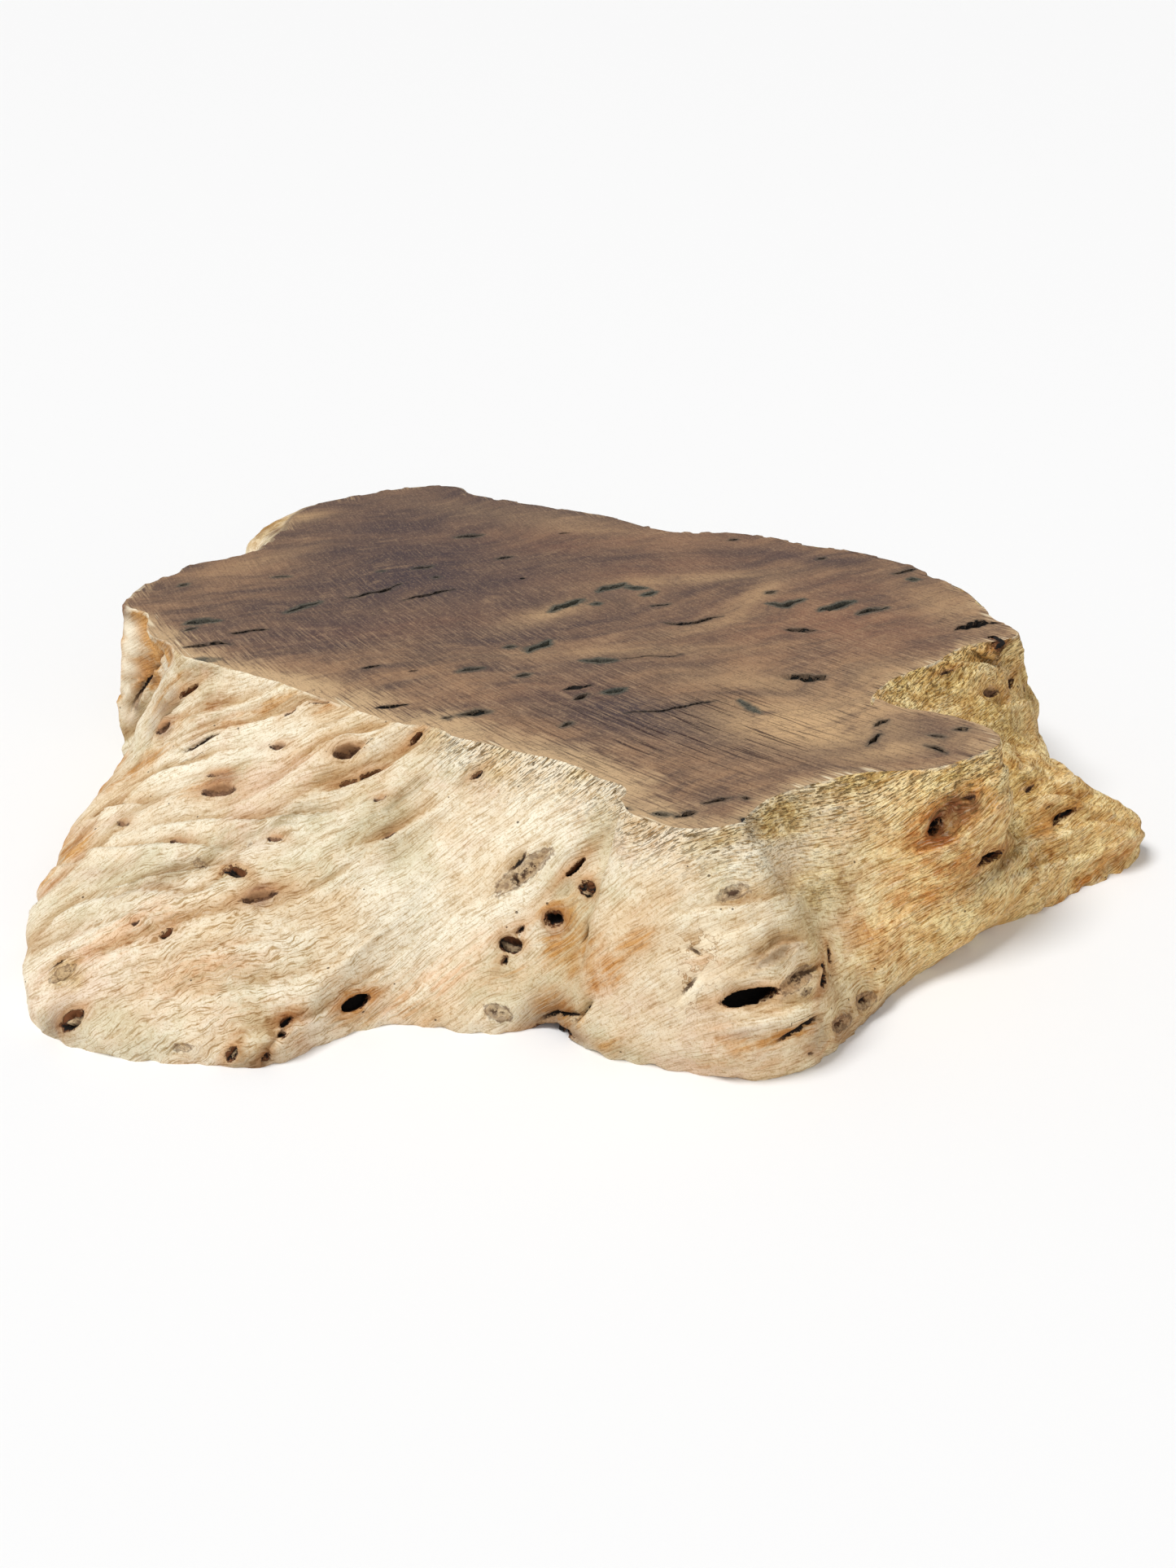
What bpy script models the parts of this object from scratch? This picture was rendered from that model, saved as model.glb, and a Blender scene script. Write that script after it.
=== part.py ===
"""Burl slice: one slab sawn flat above and below from a root burl, its bark gone and its flank weathered.

Millimetres in the tables, metres in the mesh, +Z up. The slice rests on its lower sawn face at z = 0 and
the origin is under the middle of its box. The long side runs along X, and the broad front is at -Y.
"""

import math

import bmesh
import bpy
import numpy as np
from mathutils import Matrix, Vector, noise
from mathutils.bvhtree import BVHTree
from mathutils.geometry import delaunay_2d_cdt

MM = 0.001
THICKNESS = 75.0
COLUMNS_PER_STATION = 4
ROWS_DOWN_FLANK = 13
RIM_ROWS = 4
RIM_TUCK = 1.5
SMOOTHING_PASSES = 4
BROAD_LUMP_SPACING = 30.0
BROAD_LUMP_HEIGHT = 1.3
SMALL_LUMP_SPACING = 12.0
SMALL_LUMP_HEIGHT = 0.7
EDGE_CALM = 6.0
CUTTER_PROUD = 1.0

# The flank is drawn as stations round the slice, from the left corner along the front, counter-clockwise
# seen from above. Each gives the sawn edge above (x, y), the foot below (x, y), the shape of the slope
# between them (1 is rounded like a shoulder, 2 straight, 3 hollow like a root flare), the height of the
# blunt rim above the foot, and how far the middle swells out.
STATIONS = (
    # left corner, a standing ridge
    (-186, 84, -194, 90, 2.0, 20, 2),
    (-182, 77, -195, 84, 1.8, 16, 2),
    # flute beside it
    (-173, 72, -193, 78, 2.2, 12, -6),
    (-172, 58, -187, 73, 2.2, 10, -10),
    (-166, 48, -185, 68, 2.2, 10, -9),
    (-159, 42, -187, 62, 2.2, 10, -5),
    # front-left lobe, a fan of low ridges
    (-156, 36, -191, 56, 1.9, 13, 0),
    (-146, 27, -194, 42, 1.9, 13, 0),
    (-120, 13, -197, 22, 1.9, 13, 0),
    (-92, -6, -199, -2, 1.9, 13, 1),
    (-67, -26, -199, -36, 1.9, 13, 1),
    (-55, -30, -193, -70, 1.9, 12, 1),
    (-51, -32, -182, -100, 2.0, 11, 1),
    (-45, -37, -157, -116, 2.0, 9, 1),
    (-38, -41, -125, -120, 2.1, 8, 0),
    (-31, -44, -101, -122, 2.2, 9, -1),
    (-22, -49, -82, -108, 2.1, 9, -2),
    (-12, -52, -62, -100, 2.0, 9, -2),
    # front middle, under the step in the sawn edge
    (-2, -58, -42, -105, 1.9, 9, -1),
    (5, -67, -21, -105, 1.9, 9, 0),
    (12, -74, -5, -96, 2.0, 10, -1),
    (9, -80, -6, -108, 1.9, 10, 1),
    # front-right buttress
    (12, -90, 9, -119, 1.8, 11, 1),
    (24, -98, 28, -124, 1.8, 12, 2),
    (38, -100, 50, -129, 1.7, 13, 3),
    (50, -97, 68, -123, 1.7, 13, 3),
    (57, -83, 83, -109, 2.0, 11, 0),
    (72, -70, 95, -93, 2.0, 10, 1),
    (90, -61, 106, -78, 1.9, 11, 4),
    # tongue of the sawn face, over a swelling
    (108, -60, 119, -65, 1.8, 11, 9),
    (124, -53, 133, -49, 1.8, 10, 11),
    (136, -43, 145, -40, 1.8, 9, 9),
    (138, -32, 158, -34, 2.0, 12, 2),
    (124, -18, 174, -24, 2.2, 16, -4),
    # bay behind the tongue, and the right lobe below it
    (109, -13, 191, -11, 2.1, 19, -3),
    (99, -14, 205, 0, 2.0, 19, -1),
    (100, -5, 214, 13, 1.9, 18, 0),
    (106, 6, 210, 28, 1.7, 14, -5),
    (116, 15, 200, 42, 1.3, 10, -6),
    (128, 24, 189, 52, 1.0, 8, -2),
    (140, 39, 183, 61, 0.95, 8, 1),
    (156, 44, 183, 70, 1.05, 10, 1),
    # right corner
    (166, 52, 184, 80, 1.4, 12, 2),
    (161, 69, 184, 91, 1.7, 12, 2),
    (158, 81, 182, 103, 1.7, 12, 2),
    # back
    (148, 104, 173, 126, 1.8, 10, 2),
    (137, 126, 164, 144, 2.0, 12, -2),
    (110, 145, 138, 170, 1.8, 14, 3),
    (88, 156, 104, 190, 1.8, 12, 4),
    (62, 170, 74, 198, 2.0, 10, -1),
    (35, 172, 42, 200, 2.1, 10, -4),
    (12, 186, 16, 218, 1.8, 12, 2),
    (-20, 204, -16, 236, 1.7, 14, 4),
    (-50, 218, -50, 240, 1.9, 12, 0),
    (-60, 232, -64, 254, 1.8, 12, 2),
    (-80, 232, -92, 258, 1.6, 14, 4),
    (-108, 219, -128, 246, 1.7, 14, 3),
    # knob at the back-left, and the left side
    (-131, 200, -153, 220, 1.1, 14, 3),
    (-136, 168, -162, 192, 0.9, 12, 2),
    (-147, 139, -174, 158, 1.5, 10, -2),
    (-167, 129, -190, 136, 1.7, 12, 0),
    (-181, 106, -193, 112, 1.8, 14, 1),
)

# Furrows that the weather has cut along the grain: half width, depth, and the points each runs through.
# One with a depth below zero stands proud as a ridge or a lump.
FURROWS = (
    # crease under the flute, and the groove that runs beside it
    (5, 2.5, (-160, 42, 71), (-180, 79, 40), (-189, 81, 26)),
    (6, 2.6, (-144, 23, 68), (-153, 23, 58), (-159, 18, 48), (-169, 11, 37)),
    # ridges and furrows fanning down the left lobe
    (8, -1.8, (-125, 9, 67), (-145, 13, 56), (-162, 8, 41), (-183, 8, 26)),
    (6, 2.0, (-115, 1, 67), (-136, 1, 55), (-155, -3, 42), (-180, -6, 27)),
    (8, -1.8, (-92, -10, 72), (-112, -18, 60), (-139, -23, 46), (-173, -19, 29)),
    (7, 2.0, (-101, -36, 59), (-129, -28, 49), (-156, -27, 37), (-182, -23, 24)),
    (9, 3.0, (-57, -33, 73), (-72, -44, 65), (-107, -53, 51), (-137, -48, 42), (-168, -40, 29)),
    (9, -2.2, (-65, -56, 61), (-87, -62, 54), (-115, -60, 46), (-145, -50, 38), (-175, -49, 25)),
    (9, 2.5, (-54, -65, 53), (-75, -70, 49), (-114, -67, 44), (-143, -59, 37), (-170, -67, 24)),
    (10, -2.0, (-80, -73, 46), (-113, -74, 41), (-146, -74, 32), (-170, -82, 21)),
    (8, 2.0, (-164, -80, 23), (-171, -93, 17), (-174, -97, 14)),
    # soft valley and the swell right of it, under the middle of the front
    (24, 3.0, (-37, -50, 68), (-54, -66, 52), (-54, -80, 36), (-32, -95, 24)),
    (16, -2.5, (-6, -62, 70), (-22, -67, 56), (-43, -77, 37)),
    (12, 3.0, (6, -75, 66), (-2, -83, 47), (-8, -90, 36), (-22, -97, 25)),
    # buttress: a mound on each side of its face, and the valley right of it
    (16, -3.0, (51, -122, 39), (66, -112, 41)),
    (18, -2.5, (9, -112, 32), (27, -114, 45)),
    (16, 3.5, (52, -95, 75), (72, -84, 54), (89, -84, 32)),
    # swelling under the tongue, with a brow over its knot and a fold behind it
    (22, -2.0, (89, -67, 65), (114, -66, 61), (131, -57, 60)),
    (7, -1.8, (105, -65, 65), (122, -60, 68), (133, -56, 60), (137, -55, 52)),
    (9, 2.4, (111, -68, 54), (121, -64, 60)),
    (7, 3.0, (156, 3, 47), (156, -11, 38), (148, -43, 39), (135, -60, 34), (124, -69, 29)),
    # right lobe and the bay above it
    (10, -2.5, (162, -4, 41), (182, -1, 32), (205, 8, 22)),
    (8, 2.0, (188, -12, 20), (167, -17, 24), (144, -52, 35)),
    (12, 2.0, (128, 22, 74), (141, 21, 65)),
    (9, 5.0, (170, 32, 46), (179, 38, 29), (187, 48, 10)),
    # right side and back
    (9, 3.0, (160, 72, 72), (176, 84, 40), (184, 90, 8)),
    (12, -3.0, (152, 98, 66), (172, 112, 36)),
    (10, 3.0, (142, 118, 70), (160, 138, 36), (166, 144, 6)),
    (12, -2.5, (106, 152, 62), (130, 176, 24)),
    (9, 2.5, (96, 154, 72), (116, 178, 40), (122, 184, 8)),
    (14, 3.5, (48, 172, 74), (58, 190, 44), (62, 200, 8)),
    (10, -2.5, (0, 200, 62), (2, 222, 26)),
    (8, 2.5, (-8, 196, 72), (-4, 218, 40), (2, 230, 8)),
    (9, 3.0, (-54, 222, 72), (-56, 240, 44), (-58, 248, 8)),
    (12, -2.5, (-84, 240, 58), (-96, 252, 26)),
    (9, 3.0, (-120, 210, 70), (-138, 226, 42), (-144, 234, 8)),
    (8, 3.0, (-140, 152, 70), (-162, 168, 40), (-170, 172, 8)),
    (10, -2.0, (-160, 134, 62), (-180, 142, 26)),
    (8, 2.5, (-174, 117, 70), (-188, 124, 40), (-193, 124, 8)),
)

# Knot holes, bores and slits: the place on the flank, half length, half width, depth, and how far the
# long side leans up to the right, in degrees.
PITS = (
    # left lobe
    (-149, 25, 65, 4.4, 2.2, 4.0, 40),
    (-128, -26, 50, 6.4, 2.8, 2.2, 15),
    (-82, -32, 67, 4.4, 3.0, 4.5, 10),
    (-115, -70, 42, 3.4, 2.3, 4.0, -15),
    (-107, -81, 39, 5.3, 2.4, 2.6, 12),
    (-75, -101, 11, 4.8, 2.2, 6.0, 25),
    # middle of the front
    (-25, -93, 29, 4.2, 3.4, 3.5, 50),
    (-11, -90, 36, 3.3, 3.2, 9.0, 0),
    (-4, -82, 52, 4.2, 1.7, 5.0, 60),
    # buttress
    (49, -126, 30, 8.4, 3.3, 9.0, 12),
    (78, -102, 25, 4.8, 3.0, 3.5, 20),
    # tongue and right lobe
    (117, -66, 57, 3.4, 1.9, 5.0, 45),
    (137, -58, 40, 5.0, 1.9, 5.0, 30),
    (176, -8, 28, 5.4, 2.2, 5.0, 35),
    (153, 29, 62, 4.4, 2.5, 2.5, 0),
    # right side, back and left side
    (122, 168, 34, 4.6, 3.6, 4.0, -20),
    (24, 204, 42, 6.0, 2.6, 4.5, 15),
    (-104, 244, 34, 4.2, 3.4, 6.0, 0),
    (-178, 142, 32, 5.2, 2.4, 4.0, -30),
)

# Cracks open in the sawn face: half width, depth, and the points each runs through in plan.
CRACKS = (
    (1.1, 4.0, (-95, 89), (-85, 96), (-76, 105)),
    (1.3, 4.5, (-15, 75), (-8, 82), (-1, 88), (5, 98), (15, 105)),
    (1.0, 4.0, (29, 62), (39, 62), (53, 70)),
    (1.2, 4.5, (-157, 37.5), (-148, 40), (-139, 43)),
    (0.9, 4.0, (-137, 53), (-130, 55), (-122, 57)),
    (1.0, 4.0, (-75, -14.5), (-63, -11)),
    (1.0, 4.0, (-45, -19.5), (-33, -17)),
    (1.2, 4.5, (71, 83), (78, 81), (87, 87.5)),
    (1.2, 4.5, (91, 75), (98, 80.5), (107, 86)),
    (1.7, 5.0, (77, 55), (82, 56.5), (87, 56)),
    (1.7, 5.0, (74, 10.5), (80, 12), (86, 12.5)),
    (1.7, 6.0, (140, 55), (147, 60), (156, 63.5)),
    (0.9, 4.0, (93, -43.5), (97.5, -37), (100.5, -34.5)),
    (1.1, 4.0, (25, -92.5), (34.5, -88.5)),
)


def catmull(points, per_point):
    """A closed smooth curve through rows of numbers, with per_point samples for each row."""
    here = np.asarray(points, float)
    before, after, beyond = np.roll(here, 1, 0), np.roll(here, -1, 0), np.roll(here, -2, 0)
    samples = []
    for t in np.arange(per_point) / per_point:
        samples.append(
            0.5 * (2 * here + (after - before) * t
                   + (2 * before - 5 * here + 4 * after - beyond) * t ** 2
                   + (3 * here - before - 3 * after + beyond) * t ** 3)
        )
    return np.stack(samples, 1).reshape(-1, here.shape[1])


def flank_grid():
    """Points of the flank, one column for each place round it and one row for each level, edge first."""
    columns = catmull(STATIONS, COLUMNS_PER_STATION)
    top, foot = columns[:, 0:2], columns[:, 2:4]
    power, rim, swell = columns[:, 4], columns[:, 5], columns[:, 6]
    along = np.roll(foot, -1, 0) - np.roll(foot, 1, 0)
    outward = np.stack([along[:, 1], -along[:, 0]], 1)
    outward /= np.linalg.norm(outward, axis=1)[:, None]
    slope_rows = ROWS_DOWN_FLANK - RIM_ROWS
    rows = []
    for row in range(ROWS_DOWN_FLANK + 1):
        if row <= slope_rows:
            angle = 0.5 * math.pi * row / slope_rows
            out = math.sin(angle) ** power
            height = rim + (THICKNESS - rim) * math.cos(angle) ** power
            tuck = 0.0
        else:
            down = (row - slope_rows) / RIM_ROWS
            out = np.ones_like(power)
            height = rim * (1 - down)
            tuck = RIM_TUCK * down ** 2
        belly = swell * math.sin(math.pi * row / ROWS_DOWN_FLANK)
        plan = top + (foot - top) * out[:, None] + outward * (belly - tuck)[:, None]
        rows.append(np.column_stack([plan, height]))
    grid = np.stack(rows, 1)
    for _ in range(SMOOTHING_PASSES):
        grid[:, 1:-1] += 0.5 * (0.5 * (grid[:, :-2] + grid[:, 2:]) - grid[:, 1:-1])
    return grid


def distance_to_line(points, line):
    """Distance of each point from a line of straight pieces."""
    nearest = np.full(len(points), np.inf)
    for start, end in zip(line, line[1:]):
        start, end = np.array(start, float), np.array(end, float)
        step = end - start
        t = np.clip((points - start) @ step / (step @ step), 0, 1)
        nearest = np.minimum(nearest, np.linalg.norm(points - start - t[:, None] * step, axis=1))
    return nearest


def weathered(grid):
    """The same grid with its furrows, ridges and lumps. The sawn edge and the foot stay in their planes."""
    around = np.roll(grid, -1, 0) - np.roll(grid, 1, 0)
    down = np.gradient(grid, axis=1)
    outward = np.cross(down, around)
    outward /= np.linalg.norm(outward, axis=2)[:, :, None]
    points = grid.reshape(-1, 3)
    rise = np.zeros(len(points))
    for half_width, depth, *line in FURROWS:
        rise -= depth * np.exp(-(distance_to_line(points, line) / half_width) ** 2)
    for i, point in enumerate(points):
        rise[i] += BROAD_LUMP_HEIGHT * noise.noise(Vector(point) / BROAD_LUMP_SPACING)
        rise[i] += SMALL_LUMP_HEIGHT * noise.noise(Vector(point) / SMALL_LUMP_SPACING)
    moved = grid + outward * rise.reshape(grid.shape[:2])[:, :, None]
    room = np.minimum(grid[:, :, 2], THICKNESS - grid[:, :, 2])
    moved[:, :, 2] = grid[:, :, 2] + (moved[:, :, 2] - grid[:, :, 2]) * np.clip(room / EDGE_CALM, 0, 1)
    return moved


def build_slab(grid, middle):
    columns, levels = grid.shape[:2]
    slab = bmesh.new()
    verts = []
    for column in grid:
        verts.append([slab.verts.new((Vector(point) - middle) * MM) for point in column])
    for c in range(columns):
        here, beside = verts[c], verts[(c + 1) % columns]
        for r in range(levels - 1):
            slab.faces.new((here[r], here[r + 1], beside[r + 1], beside[r]))
    bmesh.ops.triangulate(slab, faces=slab.faces[:])
    for r in (0, levels - 1):
        outline = [verts[c][r].co.xy for c in range(columns)]
        for corners in delaunay_2d_cdt(outline, [], [list(range(columns))], 1, 0)[2]:
            if r:
                corners = corners[::-1]
            slab.faces.new([verts[c][r] for c in corners]).material_index = 1
    return slab


def build_pit_cutter(slab, middle):
    """Ellipsoids sunk into the flank, each standing on the surface at its place."""
    surface = BVHTree.FromBMesh(slab)
    cutter = bmesh.new()
    for x, y, z, half_length, half_width, depth, lean in PITS:
        place, normal, _, _ = surface.find_nearest((Vector((x, y, z)) - middle) * MM)
        level = Vector((0, 0, 1)).cross(normal).normalized()
        long_side = Matrix.Rotation(math.radians(-lean), 3, normal) @ level
        across = normal.cross(long_side)
        turn = Matrix((long_side, across, normal)).transposed().to_4x4()
        size = Matrix.Diagonal((half_length * MM, half_width * MM, depth * MM, 1))
        bmesh.ops.create_icosphere(
            cutter, subdivisions=2, radius=1, matrix=Matrix.Translation(place) @ turn @ size
        )
    return cutter


def build_crack_cutter(middle):
    """Wedges with pointed ends, standing a little out of the sawn face."""
    cutter = bmesh.new()
    for half_width, depth, *line in CRACKS:
        points = [Vector((x, y, THICKNESS)) - middle for x, y in line]
        if len(points) == 2:
            points.insert(1, (points[0] + points[1]) / 2)
        left, right = [], []
        for i in range(1, len(points) - 1):
            along = (points[i + 1] - points[i - 1]).normalized()
            aside = Vector((-along.y, along.x, 0))
            left.append((points[i], aside * half_width))
            right.append((points[i], -aside * half_width))
        still = Vector((0, 0, 0))
        outline = [(points[0], still)] + right + [(points[-1], still)] + left[::-1]
        up, down = Vector((0, 0, CUTTER_PROUD)), Vector((0, 0, -depth))
        upper = [cutter.verts.new((point + aside + up) * MM) for point, aside in outline]
        lower = [cutter.verts.new((point + aside * 0.3 + down) * MM) for point, aside in outline]
        cutter.faces.new(upper)
        cutter.faces.new(lower[::-1])
        for i in range(len(outline)):
            j = (i + 1) % len(outline)
            cutter.faces.new((upper[j], upper[i], lower[i], lower[j]))
    bmesh.ops.recalc_face_normals(cutter, faces=cutter.faces[:])
    bmesh.ops.triangulate(cutter, faces=cutter.faces[:])
    return cutter


def wood(name, colour, roughness):
    material = bpy.data.materials.new(name)
    material.use_nodes = True
    shader = material.node_tree.nodes["Principled BSDF"]
    shader.inputs["Base Color"].default_value = (*colour, 1)
    shader.inputs["Roughness"].default_value = roughness
    shader.inputs["Metallic"].default_value = 0.0
    return material


def place(name, mesh, materials=()):
    data = bpy.data.meshes.new(name)
    mesh.to_mesh(data)
    mesh.free()
    for material in materials:
        data.materials.append(material)
    piece = bpy.data.objects.new(name, data)
    bpy.context.scene.collection.objects.link(piece)
    return piece


def cut(piece, cutter):
    cutter.hide_render = True
    cutter.display_type = "WIRE"
    hole = piece.modifiers.new(cutter.name, "BOOLEAN")
    hole.operation = "DIFFERENCE"
    hole.solver = "EXACT"
    hole.object = cutter


def main():
    for old in list(bpy.data.objects):
        bpy.data.objects.remove(old)
    grid = weathered(flank_grid())
    outline = grid.reshape(-1, 3)
    middle = Vector((outline.min(0) + outline.max(0)) / 2)
    middle.z = 0
    slab = build_slab(grid, middle)
    pits = build_pit_cutter(slab, middle)
    cracks = build_crack_cutter(middle)
    weathered_wood = wood("weathered_sapwood", (0.68, 0.50, 0.30), 0.8)
    sawn_wood = wood("sawn_heartwood", (0.16, 0.10, 0.07), 0.6)
    slice_object = place("burl_slice", slab, (weathered_wood, sawn_wood))
    cut(slice_object, place("pit_cutter", pits))
    cut(slice_object, place("crack_cutter", cracks))
    slice_object.data.shade_smooth()
    slice_object.data.set_sharp_from_angle(angle=math.radians(45))


main()
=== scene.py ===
"""Looks of the burl slice: the weathered flank, the sawn faces with their cracks, and the studio round it."""

import math

import bmesh
import bpy
import numpy as np
from mathutils import Matrix, Vector, noise
from mathutils.bvhtree import BVHTree
from mathutils.geometry import delaunay_2d_cdt
from mathutils.kdtree import KDTree


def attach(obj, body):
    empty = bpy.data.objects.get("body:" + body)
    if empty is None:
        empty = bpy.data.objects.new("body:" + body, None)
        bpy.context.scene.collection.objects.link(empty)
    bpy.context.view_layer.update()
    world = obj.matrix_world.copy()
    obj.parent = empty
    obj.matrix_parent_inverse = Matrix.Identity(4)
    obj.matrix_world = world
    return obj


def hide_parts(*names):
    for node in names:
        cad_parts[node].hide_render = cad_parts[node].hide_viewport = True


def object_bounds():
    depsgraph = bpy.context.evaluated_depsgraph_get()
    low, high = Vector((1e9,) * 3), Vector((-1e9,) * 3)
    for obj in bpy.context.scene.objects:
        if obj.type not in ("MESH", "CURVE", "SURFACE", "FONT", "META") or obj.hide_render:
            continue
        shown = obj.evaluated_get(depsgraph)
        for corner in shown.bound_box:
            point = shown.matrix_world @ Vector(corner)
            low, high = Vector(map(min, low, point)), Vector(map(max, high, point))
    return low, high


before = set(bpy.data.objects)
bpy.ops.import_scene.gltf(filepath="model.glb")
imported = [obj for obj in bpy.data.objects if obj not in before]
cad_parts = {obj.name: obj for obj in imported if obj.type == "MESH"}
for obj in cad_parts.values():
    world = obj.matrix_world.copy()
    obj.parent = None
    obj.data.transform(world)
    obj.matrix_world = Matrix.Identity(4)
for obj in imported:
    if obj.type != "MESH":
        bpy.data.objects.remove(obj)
cad_low, cad_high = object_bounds()

# The slab's outline
# The real thing is one slice of a root burl, sawn flat above and below. Its flank is drawn as stations
# round the slice, from the left corner along the front, counter-clockwise seen from above.
MM = 0.001
THICKNESS = 1000 * cad_high.z
# places are in millimetres from the point where the drawing began, unless a comment says otherwise, and
# this is the middle of the slab from there
DRAWN_FROM = (7.1, 65.2)
# columns round the flank and squares down it, and how closely its curves are sampled before that
AROUND, DOWN = 940, 76
PER_STATION, PER_SLOPE = 24, 40
# the rays that find the CAD solid: how far out they start, how far they reach, and how far they keep
# from the sawn faces
CAST_FROM, CAST_REACH, CAST_MARGIN = 14, 24, 0.4
# how often the flank is softened once it lies on the solid
SOFTENING = 14
# the notch in the foot, which is softened more: its place from the middle of the slab, how far round it
# and how often
NOTCH = (-19.0, -165.0)
NOTCH_WIDTH = 9.0
NOTCH_SOFTENING = 60
# a station is the sawn edge (x, y), the foot (x, y), how hollow the slope is, and the height of the blunt
# rim at the foot
STATIONS = (
    # left corner, a standing ridge, and the flute beside it
    (-186, 84, -194, 90, 2.0, 20), (-182, 77, -195, 84, 1.8, 16), (-173, 72, -193, 78, 2.2, 12),
    (-172, 58, -187, 73, 2.2, 10), (-166, 48, -185, 68, 2.2, 10), (-159, 42, -187, 62, 2.2, 10),
    # front-left lobe
    (-156, 36, -191, 56, 1.9, 13), (-146, 27, -194, 42, 1.9, 13), (-120, 13, -197, 22, 1.9, 13),
    (-92, -6, -199, -2, 1.9, 13), (-67, -26, -199, -36, 1.9, 13), (-55, -30, -193, -70, 1.9, 12),
    (-51, -32, -182, -100, 2.0, 11), (-45, -37, -157, -116, 2.0, 9), (-38, -41, -125, -120, 2.1, 8),
    (-31, -44, -101, -122, 2.2, 9), (-22, -49, -82, -108, 2.1, 9), (-12, -52, -62, -100, 2.0, 9),
    # front middle, under the step in the sawn edge
    (-2, -58, -42, -105, 1.9, 9), (5, -67, -21, -105, 1.9, 9), (12, -74, -5, -96, 2.0, 10),
    (9, -80, -6, -108, 1.9, 10),
    # front-right buttress
    (12, -90, 9, -119, 1.8, 11), (24, -98, 28, -124, 1.8, 12), (38, -100, 50, -129, 1.7, 13),
    (50, -97, 68, -123, 1.7, 13), (57, -83, 83, -109, 2.0, 11), (72, -70, 95, -93, 2.0, 10),
    (90, -61, 106, -78, 1.9, 11),
    # tongue of the sawn face
    (108, -60, 119, -65, 1.8, 11), (124, -53, 133, -49, 1.8, 10), (136, -43, 145, -40, 1.8, 9),
    (138, -32, 158, -34, 2.0, 12), (124, -18, 174, -24, 2.2, 16),
    # bay behind the tongue, and the right lobe below it
    (109, -13, 191, -11, 2.1, 19), (99, -14, 205, 0, 2.0, 19), (100, -5, 214, 13, 1.9, 18),
    (106, 6, 210, 28, 1.7, 14), (116, 15, 200, 42, 1.3, 10), (128, 24, 189, 52, 1.0, 8),
    (140, 39, 183, 61, 0.95, 8), (156, 44, 183, 70, 1.05, 10),
    # right corner and the back
    (166, 52, 184, 80, 1.4, 12), (161, 69, 184, 91, 1.7, 12), (158, 81, 182, 103, 1.7, 12),
    (148, 104, 173, 126, 1.8, 10), (137, 126, 164, 144, 2.0, 12), (110, 145, 138, 170, 1.8, 14),
    (88, 156, 104, 190, 1.8, 12), (62, 170, 74, 198, 2.0, 10), (35, 172, 42, 200, 2.1, 10),
    (12, 186, 16, 218, 1.8, 12), (-20, 204, -16, 236, 1.7, 14), (-50, 218, -50, 240, 1.9, 12),
    (-60, 232, -64, 254, 1.8, 12), (-80, 232, -92, 258, 1.6, 14), (-108, 219, -128, 246, 1.7, 14),
    # knob at the back-left, and the left side
    (-131, 200, -153, 220, 1.1, 14), (-136, 168, -162, 192, 0.9, 12), (-147, 139, -174, 158, 1.5, 10),
    (-167, 129, -190, 136, 1.7, 12), (-181, 106, -193, 112, 1.8, 14),
)
solid = BVHTree.FromObject(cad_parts["burl_slice"], bpy.context.evaluated_depsgraph_get())


def closed_curve(points, per_point):
    """A smooth closed curve through rows of numbers, with per_point samples for each row."""
    here = np.asarray(points, float)
    before, after, beyond = np.roll(here, 1, 0), np.roll(here, -1, 0), np.roll(here, -2, 0)
    samples = []
    for t in np.arange(per_point) / per_point:
        samples.append(
            0.5 * (2 * here + (after - before) * t
                   + (2 * before - 5 * here + 4 * after - beyond) * t ** 2
                   + (3 * here - before - 3 * after + beyond) * t ** 3)
        )
    return np.stack(samples, 1).reshape(-1, here.shape[1])


def evenly(rows, steps, count, closed):
    """The rows of a curve again at count even steps along it. steps is the length between rows."""
    run = np.concatenate([[0], np.cumsum(steps)])
    if closed:
        rows = np.concatenate([rows, rows[:1]])
        wanted = np.linspace(0, run[-1], count, endpoint=False)
    else:
        wanted = np.linspace(0, run[-1], count)
    return np.stack([np.interp(wanted, run, rows[:, k]) for k in range(rows.shape[1])], 1)


def slope_grid():
    """The flank before weathering: one column for each place round it, one row for each level down it."""
    fine = closed_curve(STATIONS, PER_STATION)
    reach = np.roll(fine, -1, 0) - fine
    steps = 0.5 * (np.hypot(reach[:, 0], reach[:, 1]) + np.hypot(reach[:, 2], reach[:, 3]))
    columns = evenly(fine, steps, AROUND, True)
    columns[:, 0:4:2] -= DRAWN_FROM[0]
    columns[:, 1:4:2] -= DRAWN_FROM[1]
    top, foot, power, rim = columns[:, 0:2], columns[:, 2:4], columns[:, 4], columns[:, 5]
    levels = []
    for angle in np.linspace(0, math.pi / 2, PER_SLOPE):
        out = math.sin(angle) ** power[:, None]
        height = rim + (THICKNESS - rim) * math.cos(angle) ** power
        levels.append(np.column_stack([top + (foot - top) * out, height]))
    levels.append(np.column_stack([foot, 0 * rim]))
    levels = np.stack(levels, 1)
    return np.stack([
        evenly(column, np.linalg.norm(np.diff(column, axis=0), axis=1), DOWN + 1, False) for column in levels
    ])


def outward_of(grid):
    """Smooth outward directions of a grid that closes on itself round its columns."""
    out = np.cross(np.gradient(grid, axis=1), np.roll(grid, -1, 0) - np.roll(grid, 1, 0))
    return out / np.linalg.norm(out, axis=2)[:, :, None]


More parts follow.
